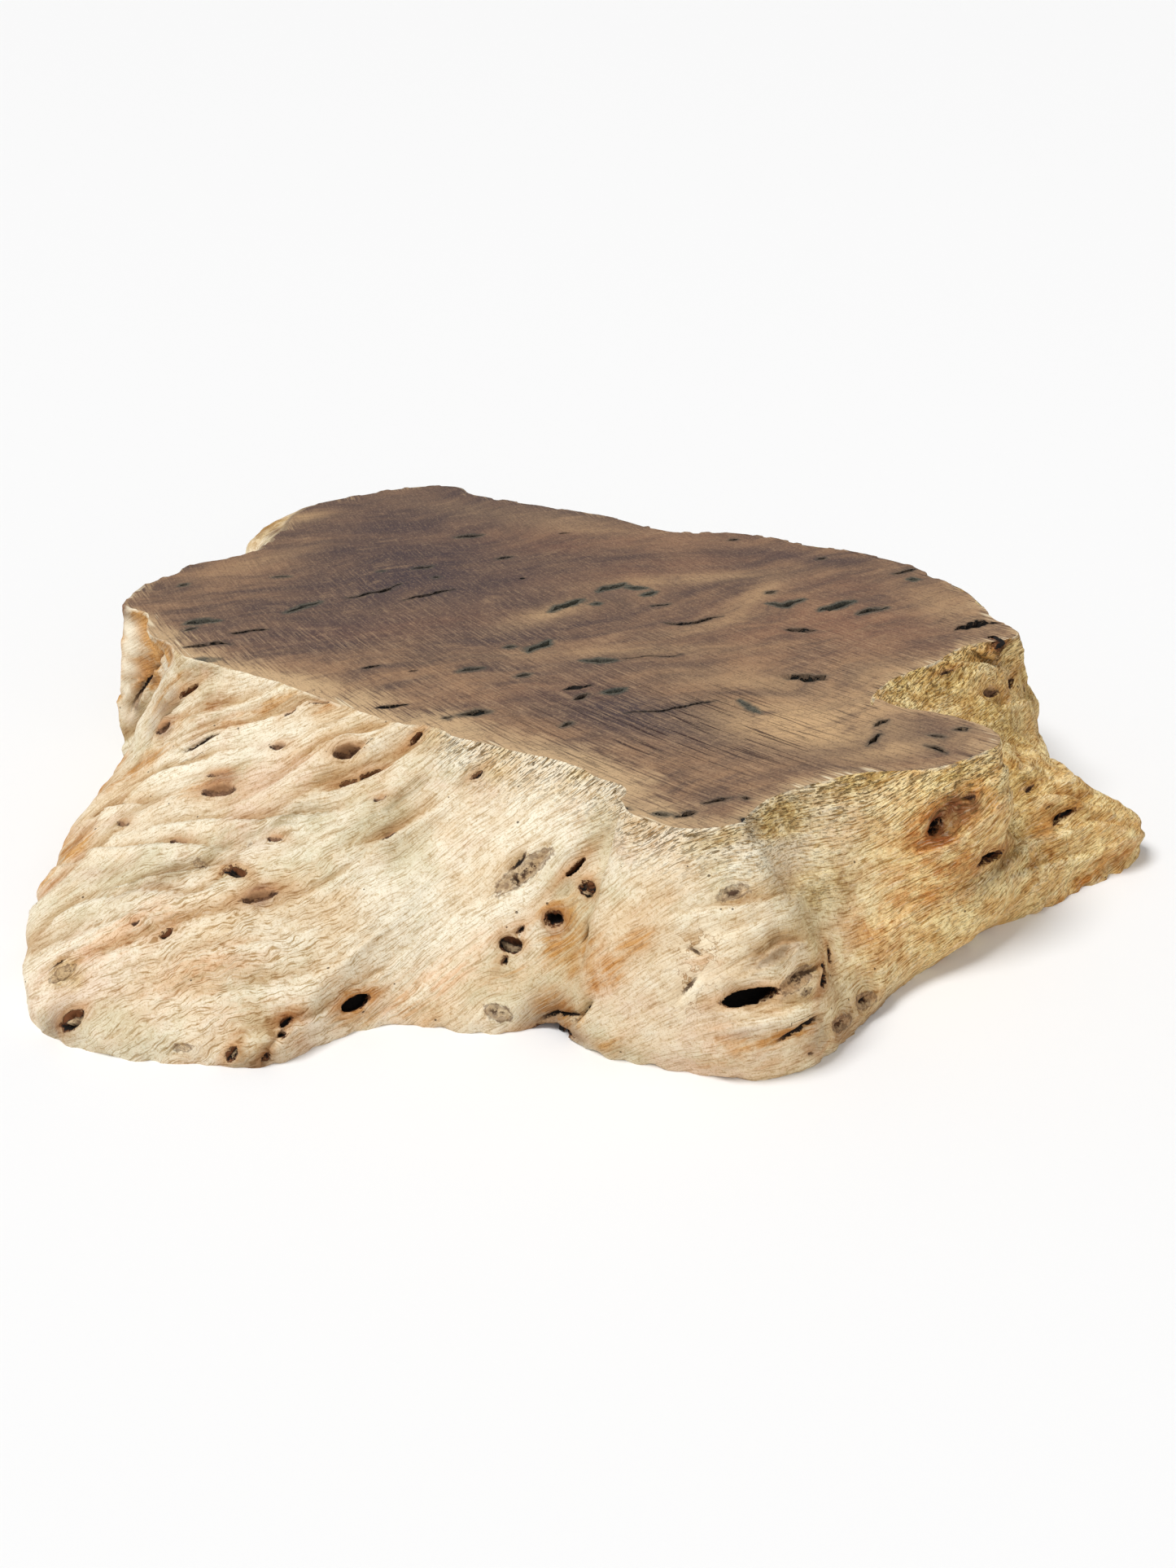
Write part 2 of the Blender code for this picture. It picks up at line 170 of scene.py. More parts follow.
def softened(grid, passes):
    """The grid with each inner point drawn towards its neighbours. The two edges are softened along them."""
    for _ in range(passes):
        beside = 0.5 * (np.roll(grid, 1, 0) + np.roll(grid, -1, 0))
        inner = 0.5 * (grid[:, :-2] + grid[:, 2:])
        grid[:, 1:-1] += 0.5 * (0.5 * (beside[:, 1:-1] + inner) - grid[:, 1:-1])
        grid[:, 0, :2] += 0.3 * (beside[:, 0, :2] - grid[:, 0, :2])
        grid[:, -1, :2] += 0.3 * (beside[:, -1, :2] - grid[:, -1, :2])
    return grid


def laid_on_solid(grid):
    """The grid moved out or in until it lies on the CAD solid, whose lobes and furrows it then has."""
    out = outward_of(grid)
    out[:, 0, 2] = 0
    out[:, -1, 2] = 0
    out /= np.linalg.norm(out, axis=2)[:, :, None]
    laid = grid.copy()
    levels = grid.shape[1]
    for c in range(grid.shape[0]):
        for r in range(levels):
            start = grid[c, r].copy()
            start[2] = min(max(start[2], CAST_MARGIN), THICKNESS - CAST_MARGIN)
            place = Vector((start + out[c, r] * CAST_FROM) * MM)
            hit, _, _, _ = solid.ray_cast(place, Vector(-out[c, r]), CAST_REACH * MM)
            if hit is not None:
                laid[c, r] = np.array(hit) / MM
            if r in (0, levels - 1):
                laid[c, r, 2] = grid[c, r, 2]
    return laid


flank = softened(laid_on_solid(slope_grid()), SOFTENING)
near_notch = np.exp(-((flank[:, -1, :2] - NOTCH) ** 2).sum(1) / NOTCH_WIDTH ** 2)[:, None]
for _ in range(NOTCH_SOFTENING):
    beside = 0.5 * (np.roll(flank[:, -1, :2], 1, 0) + np.roll(flank[:, -1, :2], -1, 0))
    flank[:, -1, :2] += 0.5 * near_notch * (beside - flank[:, -1, :2])

# Knot holes, pits and creases
# Twigs and insects left holes, the weather opened knots, and the outer sheets of the root lap over each
# other with sharp lips.
HALF_LONG, HALF_WIDE, DEPTH, LEAN, LAST = 3, 4, 5, 6, 7
# a row is a place on the flank, then the numbers above: how far the long side leans up to the right is in
# degrees, and the last is how much of a hole a stub fills, how brown a pocket is, or how far the middle
# of a scar stands up again
HOLES = (
    # open, with steep sides, and painted dark within as shadow
    (-150, 28, 62, 4.9, 1.0, 3.5, 38, 0), (-59, -31, 72, 3.0, 1.1, 3.0, 59, 0),
    (-116, -70, 42, 4.6, 2.1, 4.5, -10, 0.1), (-121, -69, 41, 1.0, 0.8, 1.5, 50, 0),
    (-137, -87, 29, 2.3, 1.4, 3.0, 54, 0), (-165, -108, 10, 4.8, 3.2, 4.0, 56, 0.8),
    (-95, -113, 13, 2.4, 1.2, 2.5, 15, 0), (-96, -116, 10, 1.5, 1.1, 2.5, 18, 0),
    (-112, -120, 5, 3.2, 1.7, 3.0, 58, 0.5), (-101, -120, 3, 2.2, 1.2, 3.5, 59, 0),
    (-75, -99, 10, 5.0, 2.2, 7.0, 14, 0), (-74, -40, 64, 4.2, 1.9, 2.4, 30, 0.3),
    (-82, -41, 61, 3.2, 1.4, 2.0, 30, 0.3), (-37, -49, 67, 2.3, 1.0, 1.7, 50, 0),
    (-11, -88, 35, 3.1, 3.0, 9.0, 3, 0), (0, -84, 44, 3.0, 2.5, 4.0, 40, 0.45),
    (-4, -79, 49, 4.4, 0.9, 5.0, 48, 0), (-25, -88, 25, 3.8, 2.6, 4.0, -10, 0.35),
    (-27, -91, 21, 1.6, 1.0, 2.0, 60, 0), (-12, -103, 1, 8.0, 2.4, 3.0, 12, 0),
    (-22, -87, 30, 2.4, 0.8, 2.0, 54, 0), (50, -122, 29, 9.2, 2.3, 9.0, 16, 0),
    (74, -109, 28, 4.4, 2.9, 3.5, 25, 0.6), (79, -99, 29, 2.8, 1.5, 4.0, 65, 0),
    (91, -98, 10, 2.8, 1.1, 1.6, -19, 0), (82, -112, 10, 3.0, 1.0, 1.6, -20, 0),
    (70, -123, 7, 1.6, 0.6, 1.2, -43, 0), (115, -65, 56, 3.4, 1.5, 6.0, 29, 0),
    (138, -53, 37, 10.5, 1.6, 6.0, -9, 0), (175, -8, 28, 5.6, 1.4, 5.0, 20, 0),
    (169, -10, 33, 1.6, 0.5, 1.0, 25, 0), (156, 44, 73, 2.6, 1.7, 4.0, 20, 0),
    # right side, back and left side
    (172, 108, 40, 5.6, 2.4, 5.0, 25, 0.3), (178, 90, 58, 3.0, 1.4, 2.5, 40, 0),
    (122, 168, 34, 4.4, 3.4, 4.0, -20, 0.6), (140, 150, 60, 2.2, 1.4, 2.0, 20, 0),
    (24, 204, 42, 6.0, 2.2, 5.0, 15, 0), (60, 188, 30, 2.4, 2.0, 3.0, 0, 0),
    (90, 178, 52, 3.2, 1.2, 2.2, 30, 0), (-36, 232, 50, 3.4, 1.6, 3.0, 25, 0),
    (-104, 244, 34, 4.0, 3.2, 6.0, 0, 0.4), (-84, 246, 58, 2.0, 1.2, 2.0, 40, 0),
    (-145, 226, 24, 3.4, 1.6, 2.5, 35, 0), (-178, 142, 32, 5.2, 1.8, 4.0, -30, 0),
    (-160, 150, 60, 2.0, 1.4, 2.2, 0, 0), (-192, 100, 40, 3.0, 1.0, 1.8, 60, 0),
)
POCKETS = (
    # gentle above and sharp at the lower lip
    (-106, -4, 69, 2.8, 1.5, 1.8, 60, 0.6), (-95, -7, 74, 3.0, 0.7, 1.0, 27, 0.6),
    (-83, -30, 66, 4.4, 2.8, 4.4, 20, 0.9), (-109, -17, 62, 3.6, 1.9, 2.2, 20, 0.7),
    (-133, -16, 51, 3.9, 1.9, 2.4, 36, 0.9), (-130, -24, 48, 7.0, 3.0, 3.0, 22, 0.7),
    (-70, -52, 61, 2.5, 1.6, 1.5, 40, 0.6), (-142, -42, 39, 4.5, 1.9, 2.2, 30, 0.7),
    (-107, -80, 39, 6.0, 2.3, 3.4, 22, 1.0), (-105, -58, 49, 3.0, 1.6, 1.2, 30, 0.8),
    (-66, -62, 51, 2.6, 0.9, 1.0, 20, 0.8), (-168, -16, 31, 3.8, 2.0, 1.6, 40, 0.5),
    (-148, -81, 29, 1.6, 1.0, 1.0, 50, 0.7), (-159, 25, 48, 3.8, 2.2, 1.8, 44, 1.0),
    (58, -120, 43, 9.0, 2.3, 1.6, 16, 0.3), (118, -65, 58, 11.0, 5.4, 2.2, 24, 0.06),
    (126, -60, 64, 2.6, 1.3, 1.6, 7, 0.6), (161, -7, 40, 2.7, 1.2, 1.6, 27, 0.6),
    (153, 31, 61, 5.6, 2.1, 3.0, -6, 0.6), (166, 48, 58, 3.2, 1.3, 2.0, 10, 0.7),
    (172, 60, 48, 2.6, 1.6, 1.2, 0, 0.4), (158, -3, 46, 2.2, 1.1, 1.0, -5, 0.3),
    (159, 2, 47, 2.2, 1.2, 1.0, -10, 0.3), (-184, 80, 36, 8.0, 1.5, 1.2, 66, 0.35),
    (133, 24, 72, 2.8, 0.7, 1.0, 0, 0.8), (160, 128, 30, 6.0, 3.2, 2.4, 20, 0.7),
    (100, 182, 24, 5.0, 2.4, 2.0, 10, 0.7), (-8, 224, 30, 5.0, 2.6, 2.0, 30, 0.7),
    (-128, 236, 50, 4.6, 2.4, 2.0, 20, 0.7), (-184, 120, 50, 4.0, 1.8, 1.6, 50, 0.7),
    (40, 198, 60, 4.0, 1.6, 1.6, 20, 0.7),
)
KNOTS = (
    # flat and rough, in a thin dark ring
    (-21, -78, 47, 11.5, 3.4, 1.2, 48, 0), (-114, -57, 46, 1.1, 0.9, 0.5, 0, 0),
    (-131, -59, 40, 4.6, 1.4, 0.8, 8, 0), (-29, -102, 8, 4.5, 2.6, 1.0, -20, 0),
    (44, -112, 60, 5.0, 2.1, 1.4, 16, 0.6), (65, -121, 34, 7.0, 3.0, 1.2, 10, 0),
    (64, -122, 33, 1.8, 1.1, 0.8, -2, 0), (68, -120, 29, 2.1, 1.2, 0.8, -13, 0),
    (91, -98, 10, 5.6, 2.8, 1.2, -19, 0), (82, -111, 10, 6.0, 2.6, 1.0, -20, 0),
    (-172, -90, 16, 5.0, 2.4, 0.8, 60, 0), (-128, -119, 6, 2.9, 1.3, 0.5, 11, 0),
    (-70, 252, 26, 4.0, 2.0, 1.4, 0, 0.5), (184, 84, 24, 4.0, 2.2, 1.2, 0, 0.5),
    (20, 208, 20, 5.0, 2.4, 1.2, 10, 0.5), (-186, 128, 24, 4.4, 2.2, 1.2, 30, 0.5),
)
# a crease is how high its lower lip stands, how deep it is cut above the lip and how dark the painted shade
# in that cut is, and its places
CREASES = (
    # beside the flute on the left corner
    (1.5, 1.8, 0.95, (-190, 82, 23), (-186, 81, 33), (-180, 79, 40), (-175, 74, 49), (-164, 51, 67)),
    (1.4, 1.9, 0.9, (-170, 19, 36), (-167, 23, 40), (-164, 25, 45), (-161, 28, 50), (-153, 27, 58)),
    # upper half of the left lobe
    (1.5, 0.5, 0.3, (-168, 23, 40), (-159, 19, 44), (-151, 12, 51), (-142, 9, 56), (-133, 6, 61),
     (-115, 3, 67)),
    (0.9, 1.7, 0.8, (-152, 7, 45), (-143, 4, 51), (-138, 4, 54), (-131, 4, 58)),
    (1.4, 1.1, 0.6, (-173, 4, 32), (-168, 5, 36), (-162, 3, 38), (-158, 4, 41), (-151, 1, 43),
     (-136, -3, 51)),
    (1.6, 0.8, 0.4, (-127, 2, 60), (-115, 0, 65), (-109, -2, 67), (-106, -3, 70), (-98, -4, 74),
     (-92, -10, 74)),
    (1.0, 0.6, 0.3, (-102, -27, 60), (-97, -26, 63), (-92, -24, 66), (-81, -24, 70), (-67, -26, 75)),
    (2.0, 0.8, 0.3, (-82, -33, 64), (-78, -30, 67), (-74, -29, 70), (-67, -26, 75)),
    (2.0, 0.4, 0.3, (-93, -43, 57), (-86, -43, 59), (-79, -43, 61), (-71, -41, 63), (-64, -37, 67),
     (-56, -33, 72)),
    (1.8, 0.0, 0.2, (-86, -70, 48), (-77, -67, 50), (-66, -63, 51), (-58, -58, 54), (-44, -53, 61)),
    (1.5, 0.3, 0.2, (-166, -23, 30), (-155, -26, 36), (-141, -33, 41), (-116, -45, 48), (-92, -51, 54),
     (-80, -52, 58)),
    # lower half of the left lobe
    (1.3, 1.1, 0.6, (-191, 2, 19), (-183, 0, 24), (-173, -2, 29), (-166, -5, 33), (-161, -9, 35)),
    (1.8, 0.4, 0.3, (-196, -22, 12), (-184, -28, 21), (-173, -28, 26), (-161, -32, 31), (-146, -42, 37),
     (-117, -58, 45)),
    (1.8, 1.3, 0.6, (-165, -55, 27), (-160, -56, 29), (-149, -58, 33), (-138, -60, 37), (-125, -62, 41),
     (-119, -66, 43)),
    (1.2, 0.3, 0.2, (-187, -66, 14), (-181, -59, 19), (-172, -58, 23), (-153, -63, 30), (-136, -72, 36),
     (-118, -78, 39)),
    (1.0, 1.3, 0.8, (-181, -89, 13), (-178, -87, 15), (-172, -85, 18), (-168, -81, 21), (-161, -78, 25)),
    (1.2, 0.2, 0.2, (-162, -92, 20), (-151, -88, 25), (-141, -85, 29), (-130, -83, 33), (-117, -84, 35)),
    (0.8, 0.8, 0.4, (-101, -120, 2), (-100, -119, 6), (-97, -117, 9), (-94, -114, 11), (-90, -111, 13)),
    # middle and the notch in the foot
    (1.2, 1.8, 0.9, (-5, -109, 8), (-3, -111, 12), (-1, -112, 16), (2, -112, 20)),
    (0.4, 3.0, 1.0, (-16, -99, 2), (-14, -100, 4), (-11, -101, 6), (-8, -104, 8), (-5, -107, 11),
     (-3, -110, 12)),
    (0.0, 1.4, 0.9, (-26, -77, 46), (-22, -76, 49), (-21, -75, 51), (-20, -74, 53)),
    (0.0, 1.2, 0.8, (-26, -78, 46), (-24, -80, 44), (-22, -81, 42)),
    (0.9, 0.6, 0.4, (-31, -80, 39), (-26, -80, 42), (-20, -80, 45), (-16, -78, 50), (-10, -74, 56)),
    # front-right buttress
    (0.3, 2.2, 1.0, (57, -130, 15), (62, -128, 17), (66, -125, 18), (69, -123, 19), (74, -118, 18)),
    (0.9, 1.3, 0.7, (62, -121, 33), (66, -119, 34), (70, -116, 33), (74, -108, 31)),
    (1.1, 0.5, 0.4, (50, -124, 40), (53, -122, 43), (57, -119, 45), (63, -116, 45), (68, -112, 42)),
    (1.1, 0.3, 0.3, (37, -127, 20), (44, -128, 22), (54, -127, 25), (64, -124, 26), (76, -112, 22)),
    (1.0, 0.3, 0.2, (24, -113, 51), (34, -114, 55), (44, -115, 57), (54, -112, 57), (64, -98, 51)),
    (0.3, 1.0, 0.7, (29, -119, 43), (32, -119, 44), (33, -121, 42), (35, -121, 43)),
    (0.3, 1.0, 0.7, (28, -123, 27), (30, -122, 31), (33, -123, 35), (34, -122, 37)),
    # tongue
    (1.3, 0.5, 0.3, (103, -70, 50), (111, -69, 49), (120, -67, 51), (127, -62, 56), (131, -59, 62)),
    (1.1, 0.6, 0.4, (114, -66, 60), (118, -64, 61), (122, -62, 63), (125, -61, 63)),
    (0.7, 0.8, 0.5, (123, -66, 31), (128, -63, 31), (131, -60, 32), (135, -56, 32)),
    # right lobe and the wall of the bay
    (1.3, 1.2, 0.5, (141, -51, 30), (146, -45, 31), (151, -33, 28), (157, -23, 26), (165, -16, 25)),
    (1.8, 0.5, 0.4, (157, -12, 36), (166, -8, 38), (176, -4, 37), (187, -1, 32), (197, 2, 26)),
    (1.5, 0.4, 0.3, (157, -22, 27), (171, -13, 24), (185, -6, 25), (195, -2, 22), (207, 4, 16)),
    (1.3, 0.4, 0.3, (145, -48, 26), (163, -25, 18), (178, -14, 15), (193, -6, 11)),
    (1.2, 0.4, 0.3, (134, 28, 74), (143, 34, 72), (154, 42, 67), (167, 53, 60)),
    (1.6, 0.4, 0.3, (142, 25, 66), (150, 25, 59), (161, 33, 54), (177, 63, 43)),
)
# how far from a crease its marks reach, and how far apart it is followed
CREASE_REACH = 16.0
CREASE_STEP = 2.5


def bvh_of_grid(grid):
    """The grid's surface, for finding the nearest place on it."""
    columns, rows = grid.shape[:2]
    corner = np.arange(columns)[:, None] * rows + np.arange(rows - 1)
    beside = np.roll(corner, -1, 0)
    quads = np.stack([corner, corner + 1, beside + 1, beside], 2).reshape(-1, 4)
    return BVHTree.FromPolygons(grid.reshape(-1, 3).tolist(), quads.tolist())


def standing_at(pit, surface):
    """The nearest place on the surface to a pit's, with its long side, its short side and its outside."""
    x, y, z, lean = *pit[:3], pit[LEAN]
    place, out, _, _ = surface.find_nearest(Vector((x - DRAWN_FROM[0], y - DRAWN_FROM[1], z)))
    level = Vector((0, 0, 1)).cross(out).normalized()
    long_side = Matrix.Rotation(math.radians(lean), 3, out) @ level
    return np.array(place), np.array([long_side, out.cross(long_side), out])


def spread_of(points, pit, standing):
    """How far points are from the middle of a pit, counted in its own half sizes, so 1 is its rim.
    The second is which side of it they are on: 1 above it, -1 below it."""
    place, axes = standing
    along, across, off = ((points - place) @ axes.T).T
    spread = np.hypot(along / pit[HALF_LONG], across / pit[HALF_WIDE])
    side = across / pit[HALF_WIDE] / np.maximum(spread, 0.05)
    spread[np.abs(off) > 4 + 2 * pit[HALF_LONG]] = 99
    return spread, side


def run_along(places):
    """How far along a row of places each of them is."""
    return np.concatenate([[0], np.cumsum(np.linalg.norm(np.diff(places, axis=0), axis=1))])


def lie_of(crease, surface):
    """The places of a crease at close steps on the surface, with the surface's outside at each."""
    _, _, _, *through = crease
    through = np.array(through, float) - (*DRAWN_FROM, 0)
    run = run_along(through)
    at = np.linspace(0, run[-1], int(run[-1] / CREASE_STEP) + 3)
    places = np.column_stack([np.interp(at, run, through[:, k]) for k in range(3)])
    places[1:-1] = 0.25 * places[:-2] + 0.5 * places[1:-1] + 0.25 * places[2:]
    found = [surface.find_nearest(Vector(place)) for place in places]
    return np.array([f[0] for f in found]), np.array([f[1] for f in found])


def beside_crease(points, lie):
    """How far points lie above a crease, negative below it, and how strong the crease is there, 0 to 1."""
    places, outs = lie
    above, strength = np.full(len(points), 99.0), np.zeros(len(points))
    low, high = places.min(0) - CREASE_REACH, places.max(0) + CREASE_REACH
    near = np.flatnonzero(((points > low) & (points < high)).all(1))
    best = np.full(len(near), 99.0)
    for i in range(len(places) - 1):
        reach, out = places[i + 1] - places[i], outs[i]
        away = points[near] - places[i]
        t = np.clip(away @ reach / (reach @ reach), 0, 1)
        away = away - t[:, None] * reach
        away -= (away @ out)[:, None] * out
        far = np.linalg.norm(away, axis=1)
        closer = far < best
        best[closer] = far[closer]
        side = np.sign(np.cross(reach, away) @ out)
        above[near[closer]] = (far * side)[closer]
        strength[near[closer]] = (np.sin(math.pi * (i + t + 0.3) / (len(places) - 0.4)) ** 0.6)[closer]
    return above, strength


surface = bvh_of_grid(flank)
hole_stands = [standing_at(hole, surface) for hole in HOLES]
pocket_stands = [standing_at(pocket, surface) for pocket in POCKETS]
knot_stands = [standing_at(knot, surface) for knot in KNOTS]
crease_lies = [lie_of(crease, surface) for crease in CREASES]
pits = HOLES + POCKETS + KNOTS
pit_stands = hole_stands + pocket_stands + knot_stands

# Grain and weathered relief of the flank
# The fibres lie in sheets that lean back and climb to the right across the front, and part round knots.
# The outer sheets have worn into long laps, each with its lip towards the sawn top.
SHEET_TILT = math.radians(28)
# the sheets bend round this line along the root, which is behind the middle of the slab
SPINE_Y, SPINE_WIDTH = 10.0, 30.0
# place to the right of the slab's middle, and the rise of the fibres there for each millimetre
CLIMB = ((-210, 0.8), (-175, 0.72), (-160, 0.42), (-110, 0.3), (-80, 0.5), (-55, 0.72), (0, 0.72), (20, 0.42),
         (45, 0.22), (65, 0.2), (85, 0.35), (100, 0.6), (210, 0.65))
# broad and close waves of the sheets: how far apart, how high
SWAY = ((45, 4.0), (14, 1.0))
# laps along the fibres: how far apart, how long, how high
LAPS = ((15.0, 70.0, 2.5), (6.5, 36.0, 0.7))
# lumps and dents: how far apart, how high
LUMPS = ((22.0, 1.6), (9.0, 0.7), (4.0, 0.35))
# place to the right of the slab's middle, and how bold the laps are there
BOLDNESS = ((-210, 1.0), (-90, 1.0), (-60, 0.5), (-45, 0.25), (0, 0.25), (40, 0.45), (100, 0.5),
            (150, 0.9), (210, 1.0))
# how ragged the sawn edges are, and how deep the scallops of the foot and the ledges of the back edge are
RAGGED_EDGE, SCALLOP, LEDGE = 0.7, 3.4, 1.5
# how far from a sawn face the relief is held back
CALM = 4.0
# the shoulder at the back left: its middle, how far it reaches and how far it stands out
SHOULDER = ((-142, 192, 68), 13.0, 6.0)
# how far outside a pit's rim and beside a crease that is this deep the mesh is made finer
REFINED_RIM, REFINED_CREASE, DEEP_CREASE = 1.4, 2.2, 0.9


def noise_at(points):
    """Smooth noise at each point, about -1 to 1. It is the same each run."""
    return np.array([noise.noise(Vector(p)) for p in points])


def smooth_step(low, high, x):
    """0 below low, 1 above high and a smooth rise between them."""
    t = np.clip((x - low) / (high - low), 0, 1)
    return t * t * (3 - 2 * t)


def sheet_of(points):
    """Which sheet of fibres each point lies in, in millimetres across the sheets, before the knots."""
    across = np.arange(CLIMB[0][0], CLIMB[-1][0] + 1)
    rise = np.cumsum(np.interp(across, *zip(*CLIMB)))
    back = np.hypot(points[:, 1] - SPINE_Y, SPINE_WIDTH)
    sheet = math.cos(SHEET_TILT) * points[:, 2] - math.sin(SHEET_TILT) * back
    sheet -= np.interp(points[:, 0], across, rise)
    for apart, high in SWAY:
        sheet += high * noise_at(points / apart)
    return sheet


def fibre_place(points):
    """Places in the grain: along the fibres by x and y, and the sheet, which parts round the knots."""
    sheet = sheet_of(points)
    parted = np.zeros(len(points))
    for pit, (place, _) in zip(pits, pit_stands):
        reach = (1.3 * min(pit[HALF_WIDE], 3.2) + 0.8) ** 2
        away = ((points - place) ** 2).sum(1)
        parted += (sheet - sheet_of(place[None])) * reach / (away + 0.5 * reach)
    return np.column_stack([points[:, :2], sheet - parted])


def boldness_at(points):
    """How bold the laps are at each point. They are bold all along the back."""
    bold = np.interp(points[:, 0], *zip(*BOLDNESS))
    return np.where(points[:, 1] > 20, np.maximum(bold, 0.8), bold)


def lapped(grain):
    """The rise of the laps above the plain flank, and how far up a lip each place is: 1 on a lip, 0 in a
    trough.
    """
    rise, crest_share = np.zeros((2, len(grain)))
    for apart, length, height in LAPS:
        turn = grain[:, 2] / apart + 1.2 * noise_at(grain / (length, length, 2.2 * apart))
        share = turn - np.floor(turn)
        along = np.column_stack([grain[:, :2] / (0.6 * length), 3.7 * np.floor(turn)])
        bold = np.clip(0.5 + 1.4 * noise_at(along), 0, 1)
        profile = share ** 1.4 * (1 - smooth_step(0.88, 1.0, share))
        rise += height * (bold * profile - 0.25)
        crest_share += height * (bold * (profile - 0.3))
    return rise, crest_share


def relief_of(grid):
    """The grid with its laps and lumps, the bitten foot, the shoulder and the ragged sawn edges."""
    out = outward_of(grid)
    places = grid.reshape(-1, 3)
    rise, _ = lapped(fibre_place(places))
    bold = boldness_at(places)
    rise *= bold
    for apart, height in LUMPS:
        lumpy = 0.4 + 0.6 * bold + 0.9 * smooth_step(130, 165, places[:, 0])
        rise += height * lumpy * (noise_at(places / apart + 7) - 0.2)
    rise = rise.reshape(grid.shape[:2])
    room = np.minimum(grid[:, :, 2], THICKNESS - grid[:, :, 2])
    calm = np.clip(room / CALM, 0, 1)
    moved = grid + out * (rise * (0.25 + 0.75 * calm))[:, :, None]
    moved[:, :, 2] = grid[:, :, 2] + (moved[:, :, 2] - grid[:, :, 2]) * calm
    bitten = SCALLOP * np.clip(noise_at(places / (6.5, 6.5, 16) + 3) + 0.05, 0, 1)
    bitten *= np.exp(-places[:, 2] / 6)
    middle, reach, stands = SHOULDER
    away = ((places - (np.array(middle) - (*DRAWN_FROM, 0))) ** 2).sum(1)
    bitten -= stands * np.exp(-away / reach ** 2) * smooth_step(0, 3, THICKNESS - places[:, 2])
    moved[:, :, :2] -= out[:, :, :2] * bitten.reshape(grid.shape[:2])[:, :, None]
    for row in (0, -1):
        inward = out[:, row, :2] / np.linalg.norm(out[:, row, :2], axis=1)[:, None]
        chips = np.abs(noise_at(grid[:, row] / 2.5)) + 1.6 * np.abs(noise_at(grid[:, row] / 8.0))
        ledges = np.round(2.4 * np.abs(noise_at(grid[:, row] / 9.0 + 5)))
        ledges = ledges * smooth_step(-30, 30, grid[:, row, 1])
        moved[:, row, :2] -= inward * (RAGGED_EDGE * chips + LEDGE * ledges)[:, None]
    return moved


def flank_mesh(grid):
    """The grid as quads. Its top and foot loops of vertices are numbered from 1 up and from -1 down."""
    mesh = bmesh.new()
    number = mesh.verts.layers.int.new("loop")
    verts = [[mesh.verts.new(point) for point in column] for column in grid]
    for c, column in enumerate(verts):
        beside = verts[(c + 1) % len(verts)]
        for r in range(len(column) - 1):
            mesh.faces.new((column[r], column[r + 1], beside[r + 1], beside[r]))
        column[0][number] = c + 1
        column[-1][number] = -c - 1
    return mesh


def loops_of(mesh):
    """The top and foot loops of vertices, in order round the slab."""
    number = mesh.verts.layers.int["loop"]
    numbered = sorted((v for v in mesh.verts if v[number]), key=lambda v: abs(v[number]))
    return [v for v in numbered if v[number] > 0], [v for v in numbered if v[number] < 0]


def refined_near(mesh):
    """Halves the squares of the mesh near each pit and deep crease, so that it is sharp. The loops stay."""
    top, foot = loops_of(mesh)
    kept = set(top) | set(foot)
    points = np.array([v.co for v in mesh.verts])
    near = np.zeros(len(points), bool)
    for pit, stand in zip(pits, pit_stands):
        near |= spread_of(points, pit, stand)[0] < 1 + REFINED_RIM / pit[HALF_WIDE]
    for (_, deep, *_), lie in zip(CREASES, crease_lies):
        if deep > DEEP_CREASE:
            near |= np.abs(beside_crease(points, lie)[0]) < REFINED_CREASE
    mesh.verts.ensure_lookup_table()
    mesh.edges.index_update()
    chosen = set()
    for i in np.flatnonzero(near):
        chosen.update(edge for edge in mesh.verts[i].link_edges if not kept.intersection(edge.verts))
    bmesh.ops.subdivide_edges(mesh, edges=sorted(chosen, key=lambda e: e.index), cuts=1, use_grid_fill=True)


flank = relief_of(flank)
slab = flank_mesh(flank)
refined_near(slab)
slab.normal_update()
top_loop, foot_loop = loops_of(slab)
points = np.array([v.co for v in slab.verts])
outward = np.array([v.normal for v in slab.verts])
dip = np.zeros(len(points))
# where each point is on the nearest hole, and on the nearest pocket or scar: millimetres outside its rim,
# how high up it, and half its width; then how much of a stub is in the hole, and the nearest crease
FAR_OFF = 9.0
pit_rim, pit_high, pit_half = np.zeros((3, 2, len(points)))
pit_rim += FAR_OFF
pit_stub, crease_dark = np.zeros((2, len(points)))
pit_kind = np.zeros((len(points), 3))
crease_above = np.full(len(points), 20.0)
HOLE, POCKET, SCAR = 0, 1, 2


def mark_pit(kind, strong, pit, spread, side):
    """Notes the pit at every point that no other of its layer is nearer to. Holes are one layer, and
    pockets and scars the other."""
    layer = min(kind, 1)
    rim = (spread - 1) * pit[HALF_WIDE]
    nearer = rim < pit_rim[layer]
    pit_rim[layer, nearer] = rim[nearer]
    pit_high[layer, nearer] = (side * np.maximum(spread, 0.05))[nearer]
    pit_half[layer, nearer] = pit[HALF_WIDE]
    if kind == HOLE:
        pit_stub[nearer] = pit[LAST]
    else:
        pit_kind[nearer, POCKET] = 0
        pit_kind[nearer, SCAR] = 0
    pit_kind[nearer, kind] = strong


